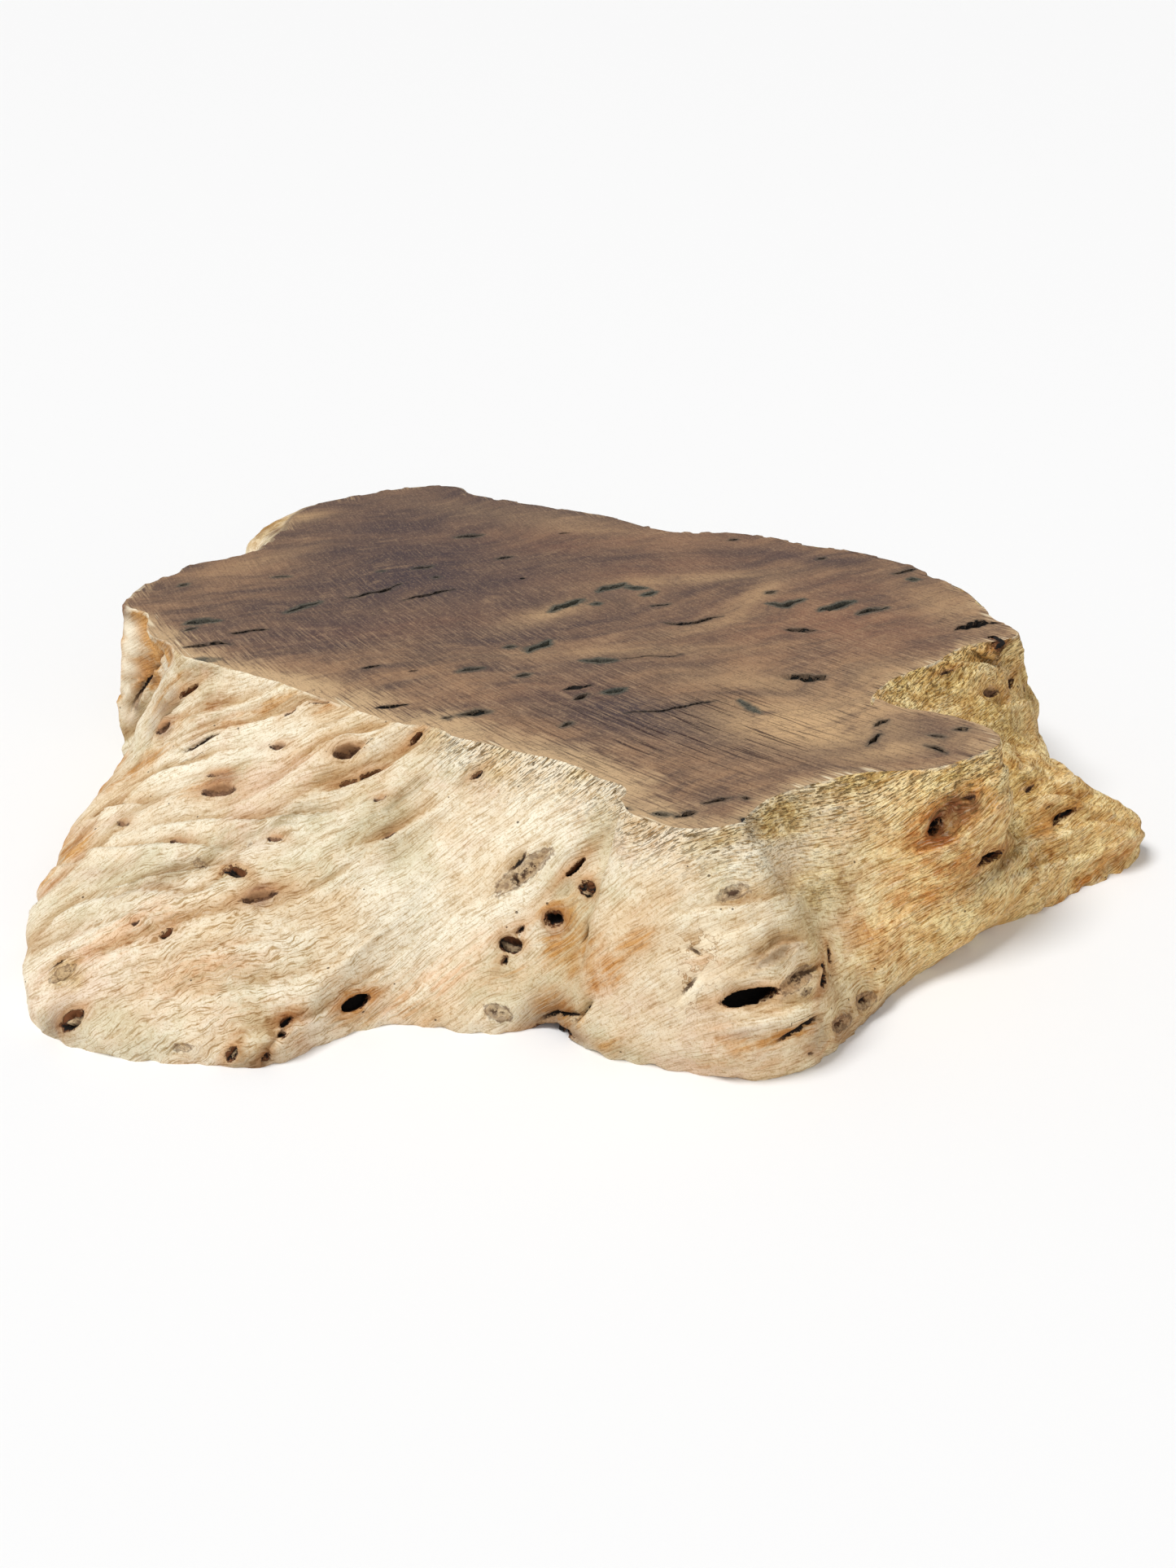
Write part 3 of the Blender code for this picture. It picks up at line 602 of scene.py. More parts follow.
rough = noise_at(points / 1.7)
for hole, stand in zip(HOLES, hole_stands):
    spread, side = spread_of(points, hole, stand)
    mark_pit(HOLE, min(1, 0.4 + hole[DEPTH] / 5), hole, spread, side)
    spread = spread + 0.12 * rough
    stub = hole[LAST] * (1 - smooth_step(0.35, 0.62, spread + 0.25 * rough))
    dip += hole[DEPTH] * (1 - smooth_step(0.6, 1.02, spread)) * (1 - stub)
    dip -= 0.12 * hole[HALF_WIDE] * np.exp(-((spread - 1.4) / 0.25) ** 2)
for pocket, stand in zip(POCKETS, pocket_stands):
    spread, side = spread_of(points, pocket, stand)
    mark_pit(POCKET, pocket[LAST], pocket, spread, side)
    spread = spread + 0.1 * rough
    dip += pocket[DEPTH] * (1 - smooth_step(0.4 - 0.36 * side, 1.04, spread))
    below = np.clip(-side, 0, 1)
    dip -= 0.25 * pocket[DEPTH] * below * np.exp(-((spread - 1.2) / 0.25) ** 2)
for knot, stand in zip(KNOTS, knot_stands):
    spread, side = spread_of(points, knot, stand)
    mark_pit(SCAR, 1, knot, spread, side)
    spread = spread + 0.16 * rough
    dip += knot[DEPTH] * (1 - smooth_step(0.5, 1.05, spread)) * (1 + 0.6 * rough)
    dip -= knot[LAST] * knot[DEPTH] * 1.4 * (1 - smooth_step(0.3, 0.6, spread))
lips, troughs = np.zeros((2, len(points)))
for (lip_high, deep, dark, *_), lie in zip(CREASES, crease_lies):
    above, strength = beside_crease(points, lie)
    nearer = np.abs(above) < np.abs(crease_above)
    crease_above[nearer] = above[nearer]
    crease_dark[nearer] = (dark * strength)[nearer]
    above = above + 0.35 * rough
    over = smooth_step(-0.7, 0.7, above)
    lip = lip_high * strength
    dip -= (1 - over) * lip * np.exp(-(above / 5.5) ** 2)
    dip += over * 0.6 * lip * np.exp(-(above / 7.0) ** 2)
    dip += deep * strength * np.exp(-((above - 0.5) / 0.85) ** 2) * (1 + 0.5 * rough)
    lips = np.maximum(lips, (1 - over) * strength * np.exp(-(above / 3.0) ** 2))
    troughs = np.maximum(troughs, over * strength * np.exp(-(above / 4.5) ** 2))
# how far up a lip or down in a trough each place is, for the laps and the creases; the flank is painted
# darker in the troughs as shade and lighter on the lips as highlight
flank_crest_share = lapped(fibre_place(points))[1] * boldness_at(points)
flank_crest_share = np.clip(0.5 + 0.45 * flank_crest_share + 0.35 * lips - 0.4 * troughs, 0, 1)
points -= outward * dip[:, None]
for vert, point in zip(slab.verts, points):
    vert.co = point

# The sawn top and its cracks
# A saw left the top flat, and time darkened it. Drying and old bark pockets opened cracks in it, mostly
# along the grain from the left to the right.
FLANK, SAWN_TOP, SAWN_UNDERSIDE = 0, 1, 2
# a crack is a half width, a depth, how grey-green its edges are, and the places that it runs through
CRACKS = (
    # back left
    (1.4, 3, 0.5, (-58.5, 160.3), (-46.5, 164.5)), (0.8, 2, 0.3, (-38.9, 133.0), (-32.2, 136.9)),
    (0.8, 2, 0.0, (-28.4, 110.1), (-26.1, 111.1)), (0.9, 1.5, 0.0, (-12.8, 164.5), (-8.1, 166.6)),
    (0.7, 2, 0.5, (-87.9, 118.6), (-85.0, 119.5)), (0.9, 3, 0.4, (-73.6, 121.4), (-65.3, 125.2)),
    (0.7, 2, 0.4, (-64.3, 112.0), (-61.6, 112.0)),
    (0.9, 4, 0.2, (-96.9, 88.4), (-85.4, 95.6), (-76.4, 104.6)),
    (1.0, 5, 0.1, (-74.0, 86.8), (-66.3, 92.0), (-54.3, 99.2)),
    # round the eye
    (1.3, 4, 1.0, (-15.0, 74.7), (-8.3, 82.4), (-2.5, 87.3)), (1.6, 3, 1.0, (4.0, 96.0), (14.9, 105.5)),
    (1.1, 3, 1.0, (15.8, 100.1), (24.1, 99.2)), (0.9, 3, 1.0, (21.9, 92.0), (27.6, 95.6)),
    (0.9, 2, 1.0, (1.8, 82.4), (5.0, 83.3)), (0.6, 2, 0.3, (25.1, 79.8), (33.0, 82.4)),
    (1.1, 5, 0.2, (29.6, 62.3), (39.1, 62.3), (52.9, 69.7)),
    # middle
    (1.0, 3, 0.8, (-31.4, 39.2), (-27.5, 40.0)),
    (1.4, 3, 1.0, (-22.1, 34.7), (-17.7, 40.0), (-14.1, 45.4)), (1.4, 3, 0.9, (-2.0, 26.4), (10.4, 27.1)),
    (0.5, 1, 0.1, (11.3, 28.6), (35.7, 32.4)), (1.0, 3, 0.1, (-82.9, 19.8), (-76.6, 22.7)),
    (0.7, 1.5, 0.0, (-65.6, 16.9), (-62.4, 18.3)), (1.3, 3, 0.7, (-47.4, 16.9), (-38.1, 20.5)),
    (1.2, 3, 0.6, (-26.2, 12.6), (-20.9, 14.7)), (1.1, 2, 0.0, (-8.9, 1.3), (1.6, 5.5)),
    (1.4, 4, 0.3, (-5.0, -7.5), (0.4, -2.1)), (1.2, 3, 1.0, (5.9, -1.4), (13.2, 2.0)),
    (0.7, 3, 0.1, (12.6, -18.2), (25.1, -16.9), (33.5, -12.9), (45.5, -7.5)),
    (1.2, 4, 0.0, (-74.3, -14.2), (-63.0, -10.9)), (1.1, 3, 0.5, (-50.4, -22.1), (-46.9, -20.8)),
    (1.7, 4, 0.6, (-44.7, -19.5), (-33.6, -16.9)), (1.1, 3, 0.5, (-9.0, -29.1), (-5.5, -25.3)),
    # right
    (1.3, 5, 0.9, (71.7, 83.3), (78.3, 80.7), (86.9, 87.6)), (1.0, 3, 0.6, (72.0, 93.8), (75.9, 96.5)),
    (1.7, 5, 1.0, (91.3, 75.6), (98.4, 80.7), (106.6, 85.9)), (1.3, 4, 0.7, (105.9, 71.4), (119.3, 79.8)),
    (2.1, 6, 0.3, (76.0, 55.8), (87.8, 55.8)), (2.5, 7, 0.3, (71.5, 10.8), (86.7, 12.9)),
    (2.4, 7, 0.0, (141.0, 55.8), (153.8, 63.1), (160.5, 63.1)),
    (1.2, 3, 1.0, (132.3, 109.2), (136.7, 109.2)), (1.2, 3, 0.3, (126.9, 115.7), (137.7, 121.4)),
    (1.0, 2, 0.3, (97.5, 133.0), (101.5, 135.0)), (1.0, 2, 0.2, (61.4, 156.1), (65.8, 158.2)),
    (1.2, 0.5, 1.0, (53.5, -7.5), (59.6, -17.5)),
    # tongue
    (1.0, 3, 0.3, (97.8, -28.4), (103.6, -23.3)),
    (1.0, 4, 0.2, (92.9, -43.3), (97.8, -36.0), (99.9, -34.7)),
    (0.9, 3, 0.4, (115.5, -35.3), (120.5, -36.6)), (1.1, 3, 0.3, (124.6, -31.0), (130.0, -30.3)),
    (1.0, 3, 0.3, (112.6, -42.7), (116.7, -45.7), (119.4, -48.7)),
    # left
    (1.9, 3, 0.9, (-156.3, 61.4), (-148.3, 65.5), (-143.8, 65.5)),
    (0.7, 2, 0.5, (-155.6, 55.0), (-151.5, 58.2)),
    (1.0, 5, 0.1, (-137.3, 52.6), (-130.5, 55.0), (-123.1, 57.4)),
    (1.7, 6, 0.2, (-152.6, 39.4), (-147.9, 40.6), (-139.6, 43.1), (-135.3, 41.6)),
    (1.6, 3, 0.9, (-146.0, 27.6), (-137.4, 28.4)),
    (1.0, 2, 0.8, (-119.7, 73.9), (-113.4, 79.0), (-107.1, 85.0)),
    (0.7, 1.5, 0.6, (-130.7, 112.0), (-123.4, 112.9)), (1.0, 2, 0.7, (-167.1, 101.9), (-164.6, 104.6)),
    # front
    (1.2, 3, 0.7, (20.5, -90.0), (25.0, -91.2)), (1.3, 5, 0.3, (26.5, -92.0), (33.8, -88.9)),
    (1.0, 3, 0.2, (35.8, -83.6), (44.8, -79.8)), (0.9, 3, 0.2, (48.4, -79.3), (51.4, -80.4)),
    (1.8, 4, 0.2, (43.6, -94.6), (51.4, -94.1)), (0.9, 1.5, 0.3, (10.0, -86.2), (13.8, -87.8)),
)
# how closely a crack is followed, and how much of its width its floor takes up
CRACK_STEP = 1.3
FLOOR_SHARE = 0.5
# the mesh of the top: how far apart its points are, and its rows as a share of that; how far outside a
# crack the two rows beside it lie; and how near to a crack or to the outline a point or a ring may come
TOP_STEP, ROW_STEP = 5.0, 0.87
HALOS = (1.2, 2.8)
CLEAR_OF_CRACK, CLEAR_OF_EDGE, RING_CLEAR = 0.7, 1.2, 0.3
# points nearer to each other than this are one
SAME = 1e-5


def line_of(crack):
    """The middle of a crack at even steps from the centred frame, its half width there and its left side."""
    half_wide, _, _, *through = crack
    through = np.array(through) - DRAWN_FROM
    run = run_along(through)
    at = np.linspace(0, run[-1], max(7, int(run[-1] / CRACK_STEP)))
    middle = np.column_stack([np.interp(at, run, through[:, k]) for k in (0, 1)])
    ahead = np.gradient(middle, axis=0)
    left = np.column_stack([-ahead[:, 1], ahead[:, 0]]) / np.linalg.norm(ahead, axis=1)[:, None]
    bend = noise_at(np.column_stack([middle / 6.0, 0 * at]))
    middle += left * (min(1.6, 0.12 * run[-1]) * bend)[:, None]
    swell = 1 + 0.9 * noise_at(np.column_stack([middle / 3.4, 0 * at + 9]))
    half = half_wide * swell * np.abs(np.sin(np.pi * at / run[-1])) ** 0.8
    return middle, half, left


def ring_of(line, share, spare):
    """A closed ring round a crack, at a share of its half width plus a spare width."""
    middle, half, left = line
    side = left * (half * share + spare)[:, None]
    inner = slice(1, -1)
    tips = middle[[0, -1]] + spare * np.array([middle[0] - middle[1], middle[-1] - middle[-2]])
    return np.concatenate([tips[:1], (middle + side)[inner], tips[1:], (middle - side)[inner][::-1]])


def across_crack(points, line):
    """How far points in plan are from a crack's middle, and its half width at the nearest place."""
    middle, half, _ = line
    far, wide = np.full(len(points), 1e9), np.ones(len(points))
    for a, b, half_a, half_b in zip(middle[:-1], middle[1:], half[:-1], half[1:]):
        t = np.clip((points - a) @ (b - a) / ((b - a) @ (b - a)), 0, 1)
        away = np.linalg.norm(points - a - t[:, None] * (b - a), axis=1)
        wide = np.where(away < far, half_a + t * (half_b - half_a), wide)
        far = np.minimum(away, far)
    return far, np.maximum(wide, 0.05)


def inside(points, outline):
    """Which points in plan are inside a closed outline."""
    crossings = np.zeros(len(points), int)
    for a, b in zip(outline, np.roll(outline, -1, 0)):
        beside = (a[1] > points[:, 1]) != (b[1] > points[:, 1])
        reach = a[0] + (points[:, 1] - a[1]) * (b[0] - a[0]) / (b[1] - a[1] + 1e-12)
        crossings += beside & (points[:, 0] < reach)
    return crossings % 2 == 1


def nearest_on(points, outline):
    """How far points in plan are from the corners of an outline."""
    return np.array([np.sqrt(((outline - p) ** 2).sum(1).min()) for p in points])


lines = [line_of(crack) for crack in CRACKS]
outline = np.array([v.co[:2] for v in top_loop])
lattice = np.array([
    (x + TOP_STEP / 2 * (row % 2), y)
    for row, y in enumerate(np.arange(outline[:, 1].min(), outline[:, 1].max(), TOP_STEP * ROW_STEP))
    for x in np.arange(outline[:, 0].min(), outline[:, 0].max(), TOP_STEP)
])
lattice = lattice[inside(lattice, outline)]
halos = np.concatenate([ring_of(line, 1, spare)[::2] for line in lines for spare in HALOS])
halos = halos[inside(halos, outline)]
free = np.concatenate([lattice, halos])
free = free[nearest_on(free, outline) > CLEAR_OF_EDGE]
for line in lines:
    far, wide = across_crack(free, line)
    free = free[far > wide + CLEAR_OF_CRACK]
rings = []
for line in lines:
    trimmed = [row[1:-1] for row in line]
    rings += [ring_of(line, 1, 0), ring_of(trimmed, FLOOR_SHARE, 0)]
rings = [
    ring for ring in rings
    if inside(ring, outline).all() and nearest_on(ring, outline).min() > RING_CLEAR
]
plan = [Vector(p) for row in (outline, *rings, free) for p in row]
walls, at = [], len(outline)
for ring in rings:
    walls += [(at + i, at + (i + 1) % len(ring)) for i in range(len(ring))]
    at += len(ring)
made = delaunay_2d_cdt(plan, walls, [list(range(len(outline)))], 1, SAME)
top_points = np.array(made[0])
crack_dip, crack_green = np.zeros((2, len(top_points)))
crack_off = np.full(len(top_points), 12.0)
for (_, deep, green, *_), line in zip(CRACKS, lines):
    far, wide = across_crack(top_points, line)
    share = (1 - smooth_step(FLOOR_SHARE, 1, far / wide)) * smooth_step(0.05, 0.6, wide)
    crack_dip = np.maximum(crack_dip, deep * share)
    off = far - wide + 0.3 * (deep < 1.6)
    nearer = off < crack_off
    crack_off[nearer] = off[nearer]
    crack_green[nearer] = green
top_verts = []
for point, sources, dip in zip(top_points, made[3], crack_dip):
    at_edge = [i for i in sources if i < len(outline)]
    if at_edge:
        top_verts.append(top_loop[at_edge[0]])
    else:
        top_verts.append(slab.verts.new((point[0], point[1], THICKNESS - dip)))
for face in made[2]:
    made_face = slab.faces.new([top_verts[i] for i in face])
    made_face.material_index = SAWN_TOP
    made_face.smooth = False
foot = [Vector(v.co[:2]) for v in foot_loop]
for face in delaunay_2d_cdt(foot, [], [list(range(len(foot)))], 1, SAME)[2]:
    made_face = slab.faces.new([foot_loop[i] for i in reversed(face)])
    made_face.material_index = SAWN_UNDERSIDE
    made_face.smooth = False

# What the years have done to the wood
# The grain shows orange where the outer fibres are gone, and pink or grey where they weathered. Moss grew
# in the sheltered places. The sawn face is purple and red in its heart, and tan at its rim. Two of the
# numbers here are for painted light: how high each place stands on the laps, for painted shade in the
# troughs and painted highlight on the lips, and the pale strip on the left corner, a painted highlight.
FIGURE_TURN = math.radians(24)
# where the fibres curl most, from the middle of the slab, and how far that reaches
CURLED, CURL_REACH = (-120, -155, 20), 55
# where the blade left deep scores in the top, and how far they reach to the right and back
SCORED, SCORE_REACH = (34, -32), (50, 34)
# a stain is a place, its length along the grain, its width across the sheets, and its strength
STAINS = {
    # not a stain: a painted highlight strip down the standing ridge of the left corner
    "pale": (
        (-184, 79, 65, 4.5, 30, 1.0), (-185, 78, 58, 4.5, 30, 1.0), (-187, 79, 48, 4.5, 30, 1.0),
        (-190, 81, 37, 4.5, 30, 1.0), (-191, 82, 27, 4, 30, 1.0),
    ),
    "crackle": (
        (34, -120, 46, 9, 20, 1.0), (33, -122, 36, 9, 20, 1.0), (31, -123, 29, 8, 20, 0.9),
    ),
    "orange": (
        (-74, -100, 12, 14, 30, 0.8), (-58, -98, 9, 14, 30, 0.6), (-95, -112, 9, 12, 30, 0.6),
        (-9, -94, 31, 11, 30, 0.7), (0, -104, 36, 10, 30, 0.6), (96, -80, 28, 22, 30, 0.5),
        (118, -70, 40, 20, 30, 0.6), (130, -60, 40, 16, 30, 0.5), (-190, 85, 60, 8, 30, 1.5),
        (-193, 86, 47, 8, 30, 1.4), (-195, 87, 34, 8, 30, 1.3), (-177, 74, 67, 8, 30, 2.0),
        (-187, 84, 68, 6, 30, 1.8), (-161, 46, 70, 8, 30, 1.5), (-174, 72, 57, 8, 30, 2.0),
        (-180, 78, 47, 8, 30, 1.8), (-168, 58, 68, 8, 30, 1.9), (-170, 63, 61, 8, 30, 1.8),
        (-176, 73, 49, 8, 30, 1.5), (-197, -2, 12, 12, 14, 1.0), (-195, -17, 14, 13, 12, 1.0),
        (-193, -29, 15, 12, 12, 0.9), (-186, 44, 23, 14, 12, 1.0), (-189, 37, 17, 14, 12, 1.0),
        (-150, 8, 58, 26, 4, 0.9), (-160, 30, 56, 18, 5, 1.0), (-120, -8, 66, 30, 4, 0.8),
        (-170, 10, 36, 20, 5, 1.0), (-140, -26, 47, 26, 4, 0.7), (-185, 80, 39, 4, 30, 1.4),
        (-190, -12, 18, 11, 30, 0.8), (-1, -101, 33, 9, 30, 0.9), (-8, -95, 27, 7, 30, 0.8),
        (-12, -101, 10, 8, 30, 0.9), (108, -70, 52, 10, 30, 0.7), (112, -70, 45, 9, 30, 0.6),
        (124, -65, 46, 9, 30, 0.6), (135, -56, 57, 8, 30, 0.6), (-9, -86, 37, 16, 9, 0.9),
        (4, -111, 31, 14, 8, 0.9), (-77, -96, 10, 15, 8, 0.8), (-108, -119, 9, 13, 7, 0.7),
        (-95, -115, 11, 12, 6, 0.6), (-187, -18, 20, 14, 12, 1.0), (-148, 188, 67, 14, 30, 1.2),
        (-194, 84, 25, 12, 12, 0.8), (-176, 60, 30, 26, 10, 0.7), (39, -129, 14, 22, 5, 0.6),
        (-11, -92, 28, 9, 30, 1.05), (-3, -97, 31, 8, 30, 1.0), (-6, -97, 25, 7, 30, 0.9),
        (14, -112, 43, 11, 5, 0.9), (-8, -104, 8, 6, 30, 1.0), (-3, -111, 12, 5, 30, 1.0),
        (4, -117, 8, 9, 6, 0.9), (60, -128, 14, 18, 4, 0.8), (59, -126, 24, 26, 4, 0.9),
        (70, -117, 30, 18, 5, 0.6), (37, -127, 20, 12, 5, 0.7), (116, -62, 56, 18, 12, 0.8),
        (147, -37, 36, 14, 12, 0.7), (182, -14, 5, 22, 8, 0.8), (202, -1, 10, 12, 12, 0.7),
        (-86, -13, 74, 14, 5, 0.8), (-26, -92, 20, 16, 6, 0.6), (-54, -96, 10, 16, 6, 0.5),
        (22, -100, 50, 20, 5, 0.45), (-140, 14, 62, 14, 5, 0.5), (75, -112, 12, 20, 5, 0.6),
        (170, 100, 50, 26, 12, 0.6), (60, 196, 40, 30, 10, 0.6), (-60, 246, 30, 26, 10, 0.7),
        (-160, 190, 40, 18, 14, 0.8), (-186, 150, 30, 20, 10, 0.7), (183, 85, 20, 18, 8, 0.6),
    ),
    "pink": (
        (111, -67, 55, 11, 30, 0.6), (-155, -84, 26, 34, 14, 0.8), (-123, -100, 24, 26, 12, 0.8),
        (-43, -90, 20, 26, 9, 0.8), (107, -72, 40, 24, 10, 0.7), (34, -122, 39, 12, 8, 0.6),
        (-112, -108, 16, 20, 8, 0.6), (-120, -32, 50, 26, 6, 0.5), (-96, -28, 62, 22, 5, 0.5),
        (160, 120, 40, 26, 12, 0.5), (-20, 220, 40, 30, 12, 0.5), (-190, 110, 40, 20, 12, 0.5),
    ),
    "red": (
        (117, -65, 57, 6, 30, 0.9), (122, -62, 60, 6, 30, 0.8), (127, -60, 61, 5, 30, 0.6),
        (-133, -15, 51, 5, 3, 0.6), (-129, -24, 49, 8, 3, 0.6), (-107, -80, 39, 6, 3, 0.6),
        (-158, 23, 48, 5, 4, 0.6), (-11, -88, 34, 5, 4, 0.7), (48, -126, 25, 10, 3, 0.5),
        (160, 128, 30, 8, 4, 0.5), (-8, 224, 30, 8, 4, 0.5), (-186, 82, 73, 4, 30, 0.6),
        (-176, 76, 46, 3, 10, 0.4),
    ),
    "moss": (
        (-144, 190, 69, 24, 30, 0.5), (-171, -91, 16, 6, 30, 0.9), (-167, -95, 17, 5, 30, 0.7),
        (112, 8, 73, 12, 30, 0.9), (152, 20, 55, 20, 30, 0.9), (160, 26, 48, 18, 30, 0.8),
        (150, -34, 31, 12, 30, 0.7), (142, -50, 32, 7, 30, 0.7), (122, 18, 74, 20, 10, 1.0),
        (134, 24, 66, 22, 12, 0.9), (154, 22, 54, 22, 14, 0.6), (157, -6, 42, 16, 12, 0.8),
        (150, -20, 30, 16, 9, 0.7), (177, -7, 32, 22, 8, 0.55), (-45, -30, 74, 16, 5, 0.5),
        (-22, -46, 74, 20, 6, 0.6), (-1, -64, 73, 16, 6, 0.6), (44, -100, 72, 16, 5, 0.7),
        (61, -82, 68, 16, 10, 1.0), (75, -86, 43, 20, 10, 0.7), (89, -65, 72, 20, 6, 0.9),
        (122, -59, 71, 18, 4, 0.8), (-172, -89, 17, 5, 6, 0.9), (-105, 0, 72, 12, 4, 0.6),
        (-150, 30, 72, 14, 4, 0.5), (80, -100, 38, 14, 8, 0.5), (100, -88, 28, 16, 6, 0.4),
        (176, 60, 50, 20, 20, 0.7), (130, 150, 60, 26, 8, 0.6), (10, 212, 50, 26, 8, 0.6),
        (-110, 240, 56, 22, 8, 0.6), (-170, 130, 60, 20, 8, 0.5),
    ),
    "grey": (
        (-102, -53, 51, 24, 5, 0.9), (-137, -63, 37, 26, 5, 0.8), (-68, -58, 57, 16, 4, 0.6),
        (-141, 13, 60, 20, 5, 0.6), (59, -120, 44, 16, 6, 0.7), (80, -102, 22, 14, 7, 0.8),
        (70, -107, 41, 14, 6, 0.6), (-89, -40, 59, 16, 4, 0.5), (-60, -53, 62, 14, 4, 0.7),
        (-20, -80, 46, 10, 4, 0.7), (-172, -107, 10, 12, 7, 0.6), (-38, -50, 67, 8, 4, 0.7),
        (150, 140, 40, 26, 8, 0.6), (-90, 250, 40, 26, 8, 0.6), (40, 200, 60, 24, 6, 0.5),
        (-186, 40, 30, 20, 6, 0.5),
    ),
    "brown": (
        (-12, -101, 7, 9, 30, 0.75), (-6, -111, 4, 6, 30, 0.7), (-17, -100, 3, 6, 30, 0.6),
        (-147, 188, 66, 9, 30, 0.55), (-188, 85, 70, 6, 30, 1.3), (-184, 82, 73, 5, 30, 1.0),
        (-146, 163, 69, 4, 30, 1.0), (-140, 174, 73, 5, 30, 1.0), (-135, 206, 70, 8, 30, 1.0),
        (-160, 33, 52, 6, 30, 0.6), (-158, 30, 58, 5, 30, 0.5), (-165, 32, 45, 5, 30, 0.5),
        (-186, 81, 30, 3, 30, 0.8), (-189, 82, 25, 3, 30, 0.7), (-187, 83, 72, 4, 30, 1.3),
        (-188, 84, 66, 3, 30, 0.7), (158, 44, 72, 5, 30, 0.9), (-160, 44, 70, 3, 30, 0.9),
        (-168, 60, 60, 3, 30, 0.8), (-175, 72, 50, 3, 30, 0.7), (82, -109, 8, 9, 30, 0.7),
        (73, -121, 11, 7, 30, 0.6), (90, -99, 10, 8, 30, 0.6), (94, -95, 6, 18, 5, 0.9),
        (84, -110, 6, 16, 5, 0.8), (-108, -121, 3, 12, 4, 0.8), (-174, -107, 5, 9, 5, 0.8),
        (-9, -99, 2, 14, 3, 0.7), (138, -50, 32, 14, 4, 0.6), (-176, 74, 46, 3, 14, 0.8),
        (-165, 40, 56, 14, 3, 0.6), (190, -8, 4, 16, 3, 0.5), (-60, 254, 8, 20, 4, 0.5),
        (184, 96, 8, 14, 4, 0.6), (-192, 64, 8, 14, 4, 0.5),
    ),
}
# on the sawn face, in plan: a place, two half sizes, the way the long one points, and a strength
FACE_STAINS = {
    "purple": (
        (-40, 195, 110, 34, -8, 0.85), (-60, 100, 90, 40, 20, 0.85), (-88, 172, 50, 20, 0, 0.9),
        (-76, 112, 62, 38, 30, 1.0), (-92, 58, 46, 22, 20, 0.95), (24, -22, 42, 17, -22, 1.3),
        (8, 92, 17, 9, 30, 0.75), (112, -34, 17, 10, 0, 0.75), (83, 138, 34, 10, -20, 0.8),
        (-30, 56, 40, 18, 20, 0.85), (-140, 60, 26, 20, 20, 0.5), (-40, 150, 40, 20, 20, 0.5),
        (0, 20, 40, 14, 0, 0.45), (20, 130, 120, 50, 0, 0.4), (-20, 215, 90, 26, -10, 0.9),
        (-70, 140, 60, 30, 0, 0.9), (10, 70, 60, 30, 20, 0.4), (118, -38, 20, 9, 0, 0.6),
    ),
    "red": (
        (96, 60, 46, 30, 0, 1.0), (120, 95, 34, 16, -20, 0.7), (20, 160, 60, 16, 0, 0.6),
        (30, 120, 46, 14, 20, 0.6), (-20, 0, 40, 10, 10, 0.4), (60, 45, 26, 12, 0, 0.6),
        (-70, 60, 50, 10, 15, 0.5), (-10, 150, 26, 10, 0, 0.6),
    ),
    "tan": (
        (74, -27, 30, 18, -10, 1.3), (94, -18, 14, 12, 0, 0.8), (100, -46, 20, 7, 20, 0.8),
        (129, -40, 8, 10, 0, 0.6), (100, -14, 22, 8, 10, 0.8), (-130, 186, 12, 6, 30, 0.7),
        (0, 171, 26, 6, -10, 0.4), (-17, 71, 22, 7, 40, 0.6), (40, 110, 40, 5, 10, 0.5),
        (66, 88, 30, 5, 60, 0.5), (50, 62, 26, 4, 30, 0.5), (-20, 185, 60, 12, -20, 0.3),
        (110, 10, 22, 16, 20, 0.6), (95, -10, 20, 16, 0, 0.6), (20, 36, 60, 5, 5, 0.35),
        (-100, 8, 36, 6, -25, 0.6), (60, 8, 30, 10, -10, 0.45), (146, 78, 16, 30, 30, 0.5),
        (-140, 130, 26, 6, 40, 0.3),
    ),
}


def stain_on(points, grain, stains):
    """How strongly each point is stained. A stain is long along the grain and narrow across it."""
    strength = np.zeros(len(points))
    for x, y, z, length, width, strong in stains:
        place = np.array([[x - DRAWN_FROM[0], y - DRAWN_FROM[1], z]])
        away = ((points - place) ** 2).sum(1) / length ** 2
        off = (grain[:, 2] - sheet_of(place)) ** 2 / width ** 2
        strength = np.maximum(strength, strong * np.exp(-away - off))
    return strength


def face_stain_on(points, stains):
    """How strongly each point of the sawn face is stained."""
    strength = np.zeros(len(points))
    for x, y, half_long, half_wide, turn, strong in stains:
        dx, dy = points[:, 0] - x + DRAWN_FROM[0], points[:, 1] - y + DRAWN_FROM[1]
        c, s = math.cos(math.radians(turn)), math.sin(math.radians(turn))
        away = ((c * dx + s * dy) / half_long) ** 2 + ((c * dy - s * dx) / half_wide) ** 2
        strength = np.maximum(strength, strong * np.exp(-away))
    return strength


# knots in the sawn face, which its grain runs round: a place in plan, how far it reaches and how strongly
FACE_KNOTS = ((8, 92, 34, 0.8), (108, -36, 22, 0.7), (92, 78, 24, 0.6), (-60, 88, 30, 0.5), (76, 12, 18, 0.6),
              (-130, 60, 26, 0.5), (50, 150, 26, 0.5), (-50, 170, 24, 0.5))


